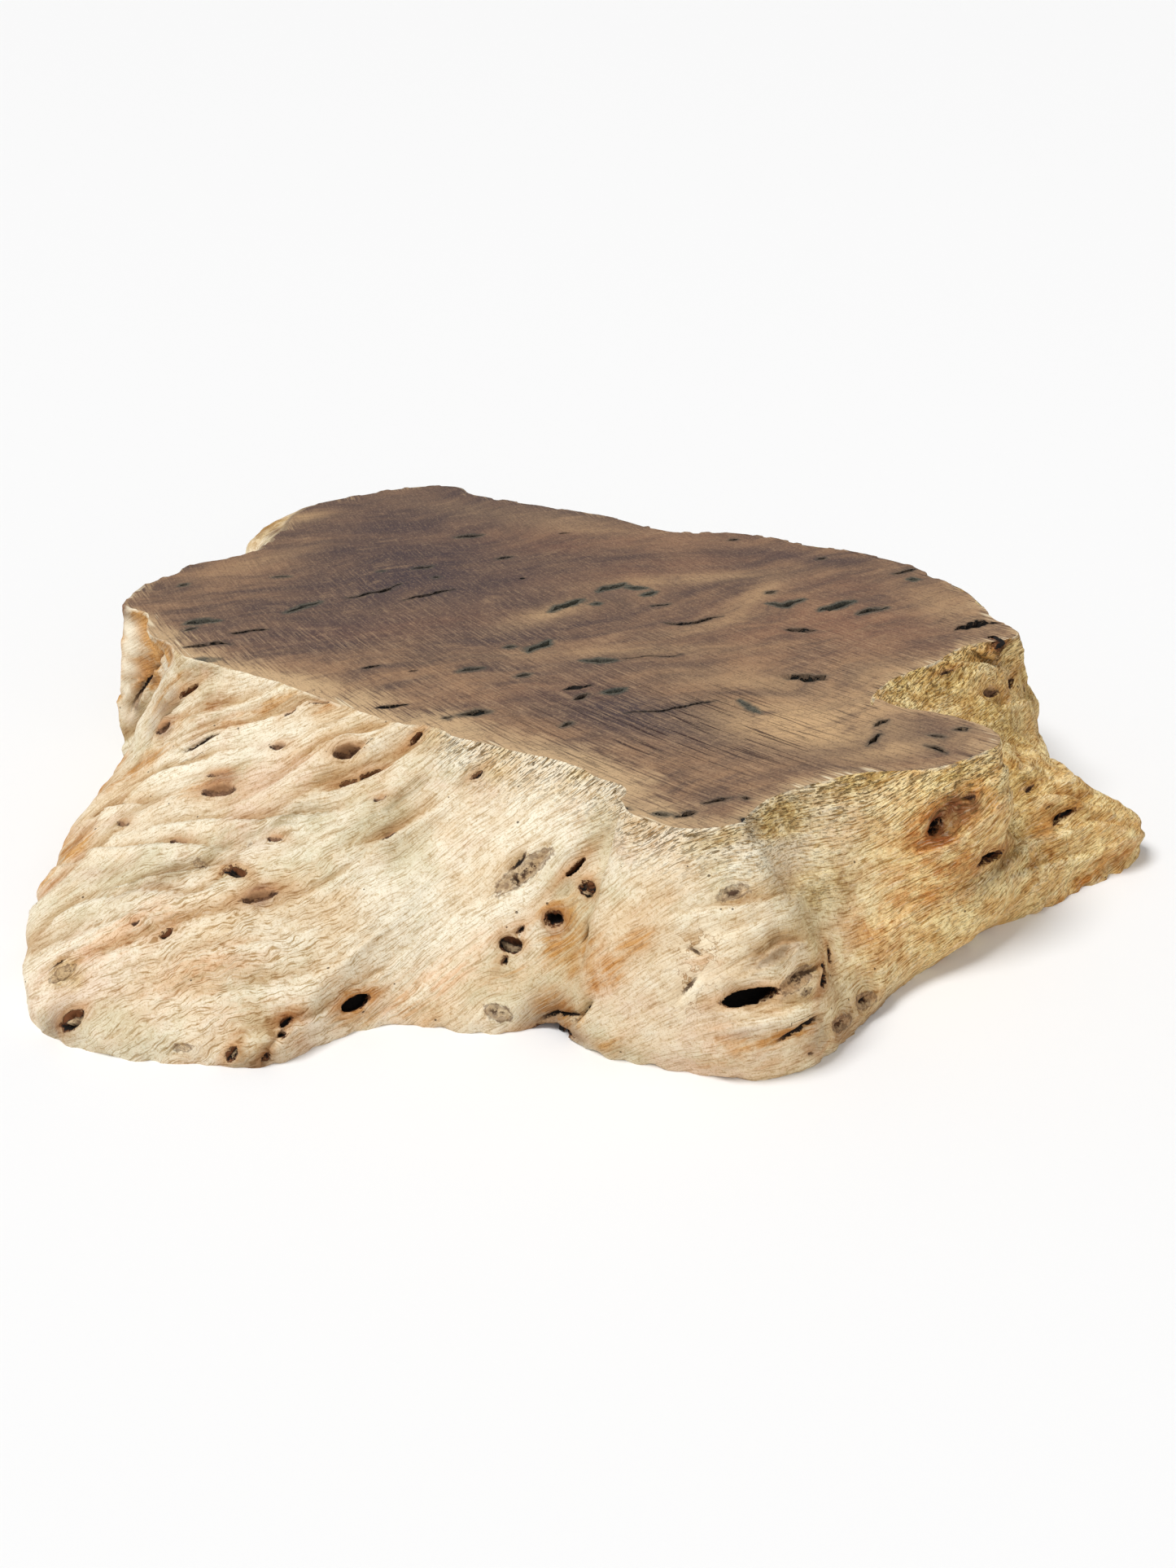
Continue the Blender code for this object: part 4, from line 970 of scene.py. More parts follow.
def figure_place(points):
    """Places in the grain of the sawn faces: along it and across it, parted round the knots."""
    turned = points[:, :2] @ np.array([
        (math.cos(FIGURE_TURN), -math.sin(FIGURE_TURN)),
        (math.sin(FIGURE_TURN), math.cos(FIGURE_TURN)),
    ])
    across = turned[:, 1] + 14 * noise_at(points / 60) + 4 * noise_at(points / 20)
    parted = np.zeros(len(points))
    for x, y, reach, strong in FACE_KNOTS:
        knot = np.array((x - DRAWN_FROM[0], y - DRAWN_FROM[1]))
        away = points[:, :2] - knot
        off = -math.sin(FIGURE_TURN) * away[:, 0] + math.cos(FIGURE_TURN) * away[:, 1]
        parted += strong * (off - 0.5 * np.hypot(*away.T)) * np.exp(-(away ** 2).sum(1) / reach ** 2)
    return np.column_stack([turned[:, 0], 0 * across, across - parted])


slab.verts.index_update()
on_flank = len(points)
points = np.array([v.co for v in slab.verts])
grain = fibre_place(points)
edge = KDTree(len(top_loop))
for i, vert in enumerate(top_loop):
    edge.insert(vert.co, i)
edge.balance()
from_edge = np.array([edge.find(p)[2] for p in points])
crack_marks = np.zeros((len(points), 3))
for vert, off, green in zip(top_verts, crack_off, crack_green):
    crack_marks[vert.index] = off, green, 0
crack_marks[:, 2] = from_edge
off_flank = len(points) - on_flank
crest_share = np.append(flank_crest_share, np.full(off_flank, 0.5))
hole_place, pit_place = np.stack([pit_rim, pit_high, pit_half], 2)
crease_place = np.column_stack([crease_above, crease_dark, pit_stub])
stained = {kind: stain_on(points, grain, rows) for kind, rows in STAINS.items()}
x = points[:, 0]
# the grain is open near the sawn edge, on the right, and under the moss
open_grain = 0.9 * np.exp(-from_edge / (15 + 16 * smooth_step(20, 80, x)))
open_grain = open_grain * (0.35 + 0.65 * smooth_step(-75, -45, x))
open_grain = np.maximum(open_grain, 0.45 * smooth_step(40, 110, x))
open_grain = np.maximum(open_grain, 0.7 * stained["moss"])
curl = 0.12 + 0.88 * np.exp(-((points - CURLED) ** 2).sum(1) / CURL_REACH ** 2)
# the right side and the back are honey-coloured; on the sawn top the same column is for the deep scores
honey = 0.9 * smooth_step(20, 120, x) + 0.25 * smooth_step(0, 120, points[:, 1]) * smooth_step(-220, 40, x)
from_scores = points[:, :2] - (np.array(SCORED) - DRAWN_FROM)
scores = np.exp(-(from_scores ** 2 / np.square(SCORE_REACH)).sum(1))
honey[on_flank:] = 1.2 * scores[on_flank:]


def on_all(values, elsewhere):
    """Numbers of the flank's points, with the same number at every point of the sawn top."""
    return np.concatenate([values, np.full((off_flank, 3), elsewhere)])


attributes = {
    "grain": grain,
    "warm_stains": np.column_stack([stained[k] for k in ("orange", "pink", "red")]),
    "cold_stains": np.column_stack([stained[k] for k in ("moss", "grey", "brown")]),
    "face_stains": np.column_stack([face_stain_on(points, FACE_STAINS[k]) for k in ("purple", "red", "tan")]),
    "hole_place": on_all(hole_place, FAR_OFF),
    "pit_place": on_all(pit_place, FAR_OFF),
    "pit_kind": on_all(pit_kind, 0.0),
    "crease_place": on_all(crease_place, 0.0),
    "cracks": crack_marks,
    "fibres": np.column_stack([open_grain, curl, crest_share]),
    "wide_stains_and_ridge_highlight": np.column_stack([honey, stained["pale"], stained["crackle"]]),
    "figure": figure_place(points),
}
for loop in (top_loop, foot_loop):
    for a, b in zip(loop, loop[1:] + loop[:1]):
        slab.edges.get((a, b)).smooth = False
for face in slab.faces:
    if face.material_index == FLANK:
        face.smooth = True
low, high = np.array(cad_low) / MM, np.array(cad_high) / MM
for vert in slab.verts:
    vert.co = np.clip(vert.co, low, high) * MM
burl_mesh = bpy.data.meshes.new("weathered_burl")
slab.to_mesh(burl_mesh)
slab.free()
for name, values in attributes.items():
    column = burl_mesh.attributes.new(name, "FLOAT_VECTOR", "POINT")
    column.data.foreach_set("vector", values.astype(np.float32).ravel())
burl = bpy.data.objects.new("weathered_burl", burl_mesh)
bpy.context.scene.collection.objects.link(burl)

# The flank's wood
# Weathered root wood: cream fibres with tan lines between them, honey-coloured on the sheltered side,
# stained, and dark in its pits and creases, much of it painted shade; lap troughs carry painted shade, and
# the lips, fibre crests and the left corner's ridge painted highlights. Colours are as seen on paper, 0 to
# 255.
wood = {
    "cream": (238, 229, 207), "tan patch": (221, 198, 163), "rosy patch": (223, 197, 173),
    "olive patch": (206, 197, 164), "tan band": (208, 180, 140), "pale honey": (254, 231, 168),
    "deep honey": (224, 178, 102), "trough": (208, 184, 150), "lip highlight": (244, 236, 214),
    "gold": (218, 166, 100), "pale ochre": (232, 204, 132), "deep ochre": (176, 140, 74),
    "brown": (116, 84, 58), "red": (118, 60, 38), "ridge highlight": (247, 237, 214),
    "between fibres": (194, 171, 134), "fibre shade": (214, 193, 160), "fibre highlight": (252, 244, 226),
    "mealy shade": (214, 196, 166), "crumb": (164, 130, 84), "dust": (210, 191, 160),
    "dash": (104, 80, 40), "gash": (112, 84, 42), "speck": (74, 52, 28), "flake": (242, 228, 198),
    "split": (160, 118, 74), "chipped edge": (238, 226, 200), "back edge": (126, 102, 78),
    "rough dark": (128, 101, 74), "rough pale": (188, 162, 126), "round a pocket": (218, 180, 140),
    "pocket low": (140, 98, 66), "pocket high": (196, 150, 108), "lens dark": (88, 60, 43),
    "lens pale": (134, 100, 74), "lip_crevice": (58, 36, 24), "scar ring": (80, 58, 42),
    "round a hole": (216, 178, 136), "hole wall": (112, 68, 38), "hole": (17, 12, 9),
    "crease faint": (112, 82, 56), "crease deep": (30, 20, 14), "pink": (242, 218, 200),
    "orange": (222, 180, 124), "grey": (190, 179, 158),
}


def put(tree, kind, settings=None, **inputs):
    """Adds a shader node. An input is named, or numbered as in _0, and takes a value or another's output."""
    made = tree.nodes.new(kind)
    for name, value in (settings or {}).items():
        setattr(made, name, value)
    for name, value in inputs.items():
        socket = made.inputs[int(name[1:])] if name[0] == "_" else made.inputs[name.replace("_", " ")]
        if isinstance(value, bpy.types.NodeSocket):
            tree.links.new(value, socket)
        else:
            socket.default_value = value
    return made


def sums(tree, operation, *values):
    """One sum of numbers."""
    inputs = {f"_{i}": value for i, value in enumerate(values)}
    return put(tree, "ShaderNodeMath", {"operation": operation}, **inputs).outputs[0]


def plus(tree, first, second):
    return sums(tree, "ADD", first, second)


def minus(tree, first, second):
    return sums(tree, "SUBTRACT", first, second)


def times(tree, first, second):
    return sums(tree, "MULTIPLY", first, second)


def scaled(tree, value, by, more):
    """value times by, and more added to it."""
    return sums(tree, "MULTIPLY_ADD", value, by, more)


def vector_sums(tree, operation, *values):
    """One sum of places."""
    inputs = {f"_{i}": value for i, value in enumerate(values)}
    made = put(tree, "ShaderNodeVectorMath", {"operation": operation}, **inputs)
    return made.outputs["Value" if operation == "DISTANCE" else "Vector"]


def from_paper(colour):
    """A colour as seen on paper, 0 to 255, as the shader's own."""
    return tuple((v / 255 / 12.92) if v <= 10 else ((v / 255 + 0.055) / 1.055) ** 2.4 for v in colour)


def blend(tree, share, first, second, how="MIX"):
    """A colour between the first and the second, each another's output or a colour on paper."""
    ends = [
        end if isinstance(end, bpy.types.NodeSocket) else (*from_paper(end), 1)
        for end in (first, second)
    ]
    settings = {"data_type": "RGBA", "blend_type": how}
    return put(tree, "ShaderNodeMix", settings, _0=share, _6=ends[0], _7=ends[1]).outputs[2]


def between(tree, value, low, high, least=0.0, most=1.0):
    """least below low, most above high and a smooth rise between them."""
    ends = {"From_Min": low, "From_Max": high, "To_Min": least, "To_Max": most}
    made = put(tree, "ShaderNodeMapRange", {"interpolation_type": "SMOOTHSTEP"}, Value=value, **ends)
    return made.outputs["Result"]


def cloud_node(tree, place, scale, detail, roughness):
    """Noise in space. Its first output is a number, its second three numbers that differ."""
    sizes = {"Scale": scale, "Detail": detail, "Roughness": roughness}
    return put(tree, "ShaderNodeTexNoise", {"noise_dimensions": "3D"}, Vector=place, **sizes)


def clouds(tree, place, scale=1.0, detail=2.0, roughness=0.5):
    """Soft clouds, from 0 to 1."""
    return cloud_node(tree, place, scale, detail, roughness).outputs[0]


def named_vector(tree, name):
    """Three numbers that the mesh carries at each point."""
    return put(tree, "ShaderNodeAttribute", {"attribute_name": name}).outputs["Vector"]


def parts_of(tree, vector):
    """The three numbers of a place, a colour or a named vector."""
    return put(tree, "ShaderNodeSeparateXYZ", _0=vector).outputs


def grain_group():
    """Streaks that are long along the grain and thin across it, from 0 to 1."""
    tree = bpy.data.node_groups.new("grain_streaks", "ShaderNodeTree")
    tree.interface.new_socket("Grain", in_out="INPUT", socket_type="NodeSocketVector")
    tree.interface.new_socket("Size", in_out="INPUT", socket_type="NodeSocketVector")
    tree.interface.new_socket("Streak", in_out="OUTPUT", socket_type="NodeSocketFloat")
    given = tree.nodes.new("NodeGroupInput").outputs
    shrunk = vector_sums(tree, "DIVIDE", given["Grain"], given["Size"])
    tree.links.new(clouds(tree, shrunk), tree.nodes.new("NodeGroupOutput").inputs[0])
    return tree


streaks_group = grain_group()


def streaks(tree, grain, along, across):
    """Streaks of the grain that are about so long and so wide, in millimetres."""
    inputs = {"Grain": grain, "Size": (along, along, across)}
    return put(tree, "ShaderNodeGroup", {"node_tree": streaks_group}, **inputs).outputs["Streak"]


def millimetres(tree):
    """The place on the piece, in millimetres."""
    place = vector_sums(tree, "SCALE", put(tree, "ShaderNodeTexCoord").outputs["Object"])
    place.node.inputs["Scale"].default_value = 1 / MM
    return place


def contours(tree, value, level, width):
    """1 along the thin lines where value crosses level, 0 away from them."""
    off = sums(tree, "ABSOLUTE", minus(tree, value, level))
    return between(tree, off, 0.2 * width, width, 1, 0)


def flank_material():
    """The weathered outside of the root."""
    material = bpy.data.materials.new("weathered_flank")
    material.use_nodes = True
    tree = material.node_tree
    shader = tree.nodes["Principled BSDF"]
    place = millimetres(tree)
    grain_at = named_vector(tree, "grain")
    orange, pink, red = parts_of(tree, named_vector(tree, "warm_stains"))
    moss, grey, brown = parts_of(tree, named_vector(tree, "cold_stains"))
    honey, pale, crackled = parts_of(tree, named_vector(tree, "wide_stains_and_ridge_highlight"))
    hole_rim, hole_high, hole_half = parts_of(tree, named_vector(tree, "hole_place"))
    pit_rim, pit_high, pit_half = parts_of(tree, named_vector(tree, "pit_place"))
    hole, pocket, knot = parts_of(tree, named_vector(tree, "pit_kind"))
    crease_above, crease_dark, stub = parts_of(tree, named_vector(tree, "crease_place"))
    opened, curled, crest_share = parts_of(tree, named_vector(tree, "fibres"))
    _, _, edge_away = parts_of(tree, named_vector(tree, "cracks"))
    # the fibres wave a little from side to side, most of all at the lower left
    long_wave = scaled(tree, clouds(tree, place, 0.035, 1.0), 5.0, -2.5)
    short_wave = scaled(tree, clouds(tree, place, 0.17, 1.0), 5.0, -2.5)
    shift = scaled(tree, short_wave, curled, long_wave)
    shifted = put(tree, "ShaderNodeCombineXYZ", Z=shift).outputs[0]
    wavy = vector_sums(tree, "ADD", grain_at, shifted)
    hair = streaks(tree, wavy, 5, 0.5)
    fibre = streaks(tree, wavy, 11, 1.25)
    band = streaks(tree, grain_at, 40, 6)
    warm, rosy, olive = parts_of(tree, cloud_node(tree, place, 0.022, 7.0, 0.66).outputs[1])
    mottle = clouds(tree, place, 0.11, 6.0, 0.68)
    fine = clouds(tree, place, 0.7, 3.0, 0.6)
    lump = clouds(tree, place, 0.5, 4.0, 0.65)
    # the wood: cream, with tan, rosy and olive patches, and honey-coloured on the sheltered side
    colour = blend(tree, between(tree, warm, 0.4, 0.62), wood["cream"], wood["tan patch"])
    colour = blend(tree, between(tree, rosy, 0.5, 0.66, 0, 0.7), colour, wood["rosy patch"])
    colour = blend(tree, between(tree, olive, 0.5, 0.66, 0, 0.7), colour, wood["olive patch"])
    colour = blend(tree, between(tree, band, 0.5, 0.7, 0, 0.3), colour, wood["tan band"])
    honeys = blend(tree, between(tree, mottle, 0.36, 0.62), wood["pale honey"], wood["deep honey"])
    colour = blend(tree, honey, colour, honeys)
    # painted shade in the troughs of the laps and creases, and a painted highlight on their lips
    colour = blend(tree, between(tree, crest_share, 0.52, 0.15, 0, 0.8), colour, wood["trough"], "MULTIPLY")
    lipped = times(tree, between(tree, crest_share, 0.55, 0.85, 0, 0.4), scaled(tree, honey, -0.7, 1.0))
    colour = blend(tree, lipped, colour, wood["lip highlight"])
    # what has stained it
    streaky = times(tree, between(tree, band, 0.25, 0.6, 0.5, 1), between(tree, fibre, 0.32, 0.58, 0.5, 1))
    feathered = between(tree, mottle, 0.3, 0.6, 0.4, 1)
    streaky = times(tree, streaky, feathered)
    for share, name in ((pink, "pink"), (orange, "orange"), (grey, "grey")):
        here = between(tree, times(tree, share, streaky), 0.05, 0.75, 0, 1)
        colour = blend(tree, here, colour, wood[name], "MULTIPLY")
    golden = plus(tree, orange, scaled(tree, mottle, 3.2, -1.6))
    golden = times(tree, between(tree, golden, 0.7, 2.0, 0, 0.85), between(tree, orange, 0.7, 1.3))
    colour = blend(tree, golden, colour, wood["gold"])
    ochre_share = between(tree, clouds(tree, place, 0.22, 5.0, 0.7), 0.38, 0.62)
    ochre = blend(tree, ochre_share, wood["pale ochre"], wood["deep ochre"])
    colour = blend(tree, between(tree, times(tree, moss, feathered), 0.05, 0.8, 0, 0.85), colour, ochre)
    browned = times(tree, brown, between(tree, fine, 0.3, 0.55, 0.5, 1))
    colour = blend(tree, sums(tree, "MINIMUM", browned, 1.0), colour, wood["brown"])
    reddened = times(tree, red, between(tree, mottle, 0.3, 0.55, 0.6, 1))
    colour = blend(tree, between(tree, reddened, 0.0, 0.8, 0, 0.92), colour, wood["red"])
    # a painted highlight strip down the standing ridge of the left corner, where the fibre lines are fainter
    # too
    colour = blend(tree, times(tree, pale, 0.95), colour, wood["ridge highlight"])
    # the fibres themselves: tan lines between them, and dark olive dashes where the grain is open
    lined = between(tree, plus(tree, plus(tree, opened, curled), times(tree, honey, 0.7)), 0.1, 1.2, 0.5, 1.0)
    smooth = scaled(tree, pale, -0.8, 1.0)
    lines = times(tree, between(tree, hair, 0.47, 0.35), times(tree, lined, smooth))
    colour = blend(tree, lines, colour, wood["between fibres"], "MULTIPLY")
    colour = blend(tree, between(tree, fibre, 0.45, 0.33, 0, 0.4), colour, wood["fibre shade"], "MULTIPLY")
    # painted highlight on the crests of the fibres
    fibre_highlight = times(tree, between(tree, hair, 0.56, 0.68, 0, 0.25), lined)
    colour = blend(tree, fibre_highlight, colour, wood["fibre highlight"])
    colour = blend(tree, between(tree, fine, 0.48, 0.32, 0, 0.6), colour, wood["mealy shade"], "MULTIPLY")
    crumbs = times(tree, between(tree, lump, 0.46, 0.32, 0, 0.5), sums(tree, "MAXIMUM", honey, moss))
    colour = blend(tree, crumbs, colour, wood["crumb"], "MULTIPLY")
    dust = clouds(tree, place, 1.7, 2.0, 0.6)
    colour = blend(tree, between(tree, dust, 0.48, 0.34, 0, 0.5), colour, wood["dust"], "MULTIPLY")
    dash = streaks(tree, wavy, 2.2, 0.5)
    dashes = times(tree, between(tree, dash, 0.56, 0.62), between(tree, opened, 0.1, 0.8))
    colour = blend(tree, times(tree, dashes, 0.85), colour, wood["dash"])
    gash = between(tree, streaks(tree, wavy, 4.5, 0.85), 0.565, 0.63)
    gashes = times(tree, gash, between(tree, opened, 0.4, 0.95))
    colour = blend(tree, times(tree, gashes, 0.7), colour, wood["gash"])
    # the painted highlight strip on the left corner's ridge again, over the dashes
    colour = blend(tree, times(tree, pale, 0.6), colour, wood["ridge highlight"])
    speck = put(tree, "ShaderNodeTexVoronoi", {"feature": "F1"}, Vector=place, Scale=0.3)
    rare, size, _ = parts_of(tree, speck.outputs["Color"])
    speck_edge = minus(tree, speck.outputs["Distance"], times(tree, size, 0.14))
    specks = times(tree, between(tree, speck_edge, 0.03, 0.0), between(tree, rare, 0.9, 0.91))
    colour = blend(tree, times(tree, specks, 0.8), colour, wood["speck"])
    flake = clouds(tree, place, 0.13, 4.0, 0.6)
    flaked = times(tree, between(tree, flake, 0.5, 0.52), crackled)
    colour = blend(tree, times(tree, flaked, 0.5), colour, wood["flake"])
    splits = times(tree, contours(tree, flake, 0.5, 0.01), crackled)
    colour = blend(tree, times(tree, splits, 0.5), colour, wood["split"])
    chipped = between(tree, clouds(tree, place, 0.12), 0.45, 0.6)
    pale_edge = times(tree, between(tree, edge_away, 0.2, 1.6, 1, 0), chipped)
    at_back = times(tree, between(tree, parts_of(tree, place)[1], 10, 50), between(tree, edge_away, 4.0, 1.0))
    colour = blend(tree, times(tree, pale_edge, 0.55), colour, wood["chipped edge"])
    colour = blend(tree, times(tree, at_back, 0.85), colour, wood["back edge"])
    # pits, seen by how far a place is outside the rim and how high up the pit it is
    bite = scaled(tree, clouds(tree, place, 0.8, 2.0), 1.6, -0.8)
    ragged = plus(tree, pit_rim, bite)
    high = plus(tree, pit_high, scaled(tree, fine, 0.8, -0.4))
    inner = sums(tree, "DIVIDE", ragged, times(tree, pit_half, -1.0))
    rough_wood = blend(tree, between(tree, lump, 0.4, 0.6), wood["rough dark"], wood["rough pale"])
    around = times(tree, between(tree, pit_rim, 4.5, 0.0, 0, 0.7), pocket)
    around = times(tree, around, between(tree, pit_high, -1.6, 0.6, 0.3, 1))
    colour = blend(tree, around, colour, wood["round a pocket"], "MULTIPLY")
    # the bowl is brown, painted darker towards its low side as shade
    bowl = times(tree, between(tree, ragged, 0.5, -0.6, 0, 0.9), pocket)
    bowl_wood = blend(tree, between(tree, high, -0.4, 0.9), wood["pocket low"], wood["pocket high"])
    colour = blend(tree, bowl, colour, bowl_wood)
    # painted shade: a dark lens at the bottom of the pocket, where it is deepest
    lens = times(tree, between(tree, ragged, 0.0, -0.4), between(tree, high, 0.4, 0.1))
    lens = times(tree, lens, between(tree, pocket, 0.25, 0.6))
    lens_wood = blend(tree, between(tree, lump, 0.4, 0.62), wood["lens dark"], wood["lens pale"])
    colour = blend(tree, times(tree, lens, 0.9), colour, lens_wood)
    # painted shade: a dark line in the crevice under the pocket's sharp lower lip
    lip_crevice_off = sums(tree, "ABSOLUTE", plus(tree, ragged, 0.25))
    lip_crevice = times(tree, between(tree, lip_crevice_off, 0.45, 0.15), between(tree, high, 0.1, -0.3))
    lip_crevice = times(tree, lip_crevice, between(tree, pocket, 0.2, 0.6))
    colour = blend(tree, times(tree, lip_crevice, 0.9), colour, wood["lip_crevice"])
    torn = plus(tree, ragged, scaled(tree, lump, 5.0, -2.5))
    scar = times(tree, between(tree, torn, 0.5, -0.5), knot)
    colour = blend(tree, times(tree, scar, 0.72), colour, rough_wood)
    eye = times(tree, between(tree, inner, 0.35, 0.75), between(tree, lump, 0.56, 0.44))
    eye = times(tree, eye, knot)
    ring = times(tree, between(tree, sums(tree, "ABSOLUTE", ragged), 0.35, 0.05, 0, 0.45), knot)
    colour = blend(tree, sums(tree, "MAXIMUM", eye, ring), colour, wood["scar ring"])
    # holes: a red-brown lit wall above, painted shadow in black lower within, and a broken grey stub in some
    hole_ragged = plus(tree, hole_rim, bite)
    hole_up = plus(tree, hole_high, scaled(tree, fine, 0.7, -0.35))
    hole_inner = sums(tree, "DIVIDE", hole_ragged, times(tree, hole_half, -1.0))
    around = times(tree, between(tree, hole_rim, 4.0, 0.0, 0, 0.75), hole)
    around = times(tree, around, between(tree, hole_high, -2.0, 0.6, 0.3, 1))
    colour = blend(tree, around, colour, wood["round a hole"], "MULTIPLY")
    opening = times(tree, between(tree, hole_ragged, 0.15, -0.15), hole)
    colour = blend(tree, opening, colour, wood["hole wall"])
    # painted shadow: black in the lower part of each hole
    deep = times(tree, between(tree, hole_ragged, -0.1, -0.35), between(tree, hole_up, 0.6, 0.2))
    deep = times(tree, deep, between(tree, hole, 0.3, 0.8))
    colour = blend(tree, deep, colour, wood["hole"])
    stubbed = times(tree, between(tree, hole_inner, 0.3, 0.45), between(tree, stub, 0.0, 0.5))
    stubbed = times(tree, stubbed, between(tree, hole_up, 0.3, 0.05))
    colour = blend(tree, times(tree, stubbed, hole), colour, rough_wood)
    # creases: a thin broken dark line just above each deep lip, painted shade in the crevice behind it
    along_lip = sums(tree, "ABSOLUTE", plus(tree, crease_above, scaled(tree, fine, 1.6, -1.2)))
    cut = between(tree, minus(tree, along_lip, times(tree, crease_dark, 0.6)), 0.15, -0.1)
    cut = times(tree, cut, between(tree, crease_dark, 0.4, 0.75))
    cut_tone = between(tree, crease_dark, 0.5, 0.9)
    colour = blend(tree, cut, colour, blend(tree, cut_tone, wood["crease faint"], wood["crease deep"]))
    tree.links.new(colour, shader.inputs["Base Color"])
    height = times(tree, hair, scaled(tree, lined, 0.42, 0.02))
    height = plus(tree, height, times(tree, fibre, 0.25))
    height = plus(tree, height, times(tree, fine, 0.12))
    height = plus(tree, height, times(tree, lump, scaled(tree, moss, 0.6, scaled(tree, honey, 0.4, 0.15))))
    grooves = (
        (dashes, 0.3), (gashes, 0.5), (specks, 0.3), (splits, 0.15), (cut, 0.5), (opening, 0.5),
        (lens, 0.2), (lip_crevice, 0.3), (eye, 0.3),
    )
    for groove, depth in grooves:
        height = minus(tree, height, times(tree, groove, depth))
    bump = put(tree, "ShaderNodeBump", Strength=1.0, Distance=0.0009, Height=height)
    tree.links.new(bump.outputs[0], shader.inputs["Normal"])
    shader.inputs["Roughness"].default_value = 0.82
    shader.inputs["Specular IOR Level"].default_value = 0.25
    return material


# The sawn faces' wood
# Dark figured wood, cut by a blade that ran in arcs round a point behind the right corner. Its cracks are
# painted black within as shadow, some with grey-green edges. The face below is paler.
SAW_CENTRE = (413.0, 314.0, 0.0)
# that point is from the slab's middle, and its marks are about this far from it
SAW_REACH = 545
# ridges, scores and bands: how far apart and how long
SAW_MARKS = ((0.8, 10.0), (1.15, 34.0), (11.0, 200.0))
sawn = {
    "dark brown": (88, 68, 59), "pale brown": (152, 117, 87), "purple": (62, 49, 54),
    "red": (134, 94, 72), "tan": (200, 164, 120), "pale patch": (162, 130, 100),
    "dark patch": (72, 58, 58), "rim": (204, 172, 130), "vein": (74, 58, 50), "ridge": (188, 156, 122),
    "furrow": (68, 50, 44), "band": (90, 72, 64), "stroke": (176, 142, 110), "score": (56, 31, 25),
    "pale grit": (188, 156, 120), "dark grit": (64, 48, 42), "beside a crack": (62, 50, 42),
    "dark green": (50, 55, 49), "pale green": (86, 86, 74), "crack": (22, 16, 13),
    "green crack": (36, 40, 36), "chip": (226, 208, 174), "fresh": (196, 160, 116),
}


def saw_group():
    """Marks of the saw: fine ridges, deep scores and broad bands, each from 0 to 1, round a centre."""
    tree = bpy.data.node_groups.new("saw_marks", "ShaderNodeTree")
    tree.interface.new_socket("Place", in_out="INPUT", socket_type="NodeSocketVector")
    tree.interface.new_socket("Centre", in_out="INPUT", socket_type="NodeSocketVector")
    for name in ("Ridges", "Scores", "Bands"):
        tree.interface.new_socket(name, in_out="OUTPUT", socket_type="NodeSocketFloat")
    given = tree.nodes.new("NodeGroupInput").outputs
    put_out = tree.nodes.new("NodeGroupOutput")
    flat = vector_sums(tree, "MULTIPLY", given["Place"], (1, 1, 0))
    away = vector_sums(tree, "DISTANCE", flat, given["Centre"])
    offset = parts_of(tree, vector_sums(tree, "SUBTRACT", flat, given["Centre"]))
    along = times(tree, sums(tree, "ARCTAN2", offset[1], offset[0]), SAW_REACH)
    for i, (apart, run) in enumerate(SAW_MARKS):
        across = sums(tree, "DIVIDE", away, apart)
        along_it = sums(tree, "DIVIDE", along, run)
        vector = put(tree, "ShaderNodeCombineXYZ", X=across, Y=along_it, Z=i * 5.0).outputs[0]
        tree.links.new(clouds(tree, vector, 1.0, 2.2), put_out.inputs[i])
    return tree


saw_marks_group = saw_group()


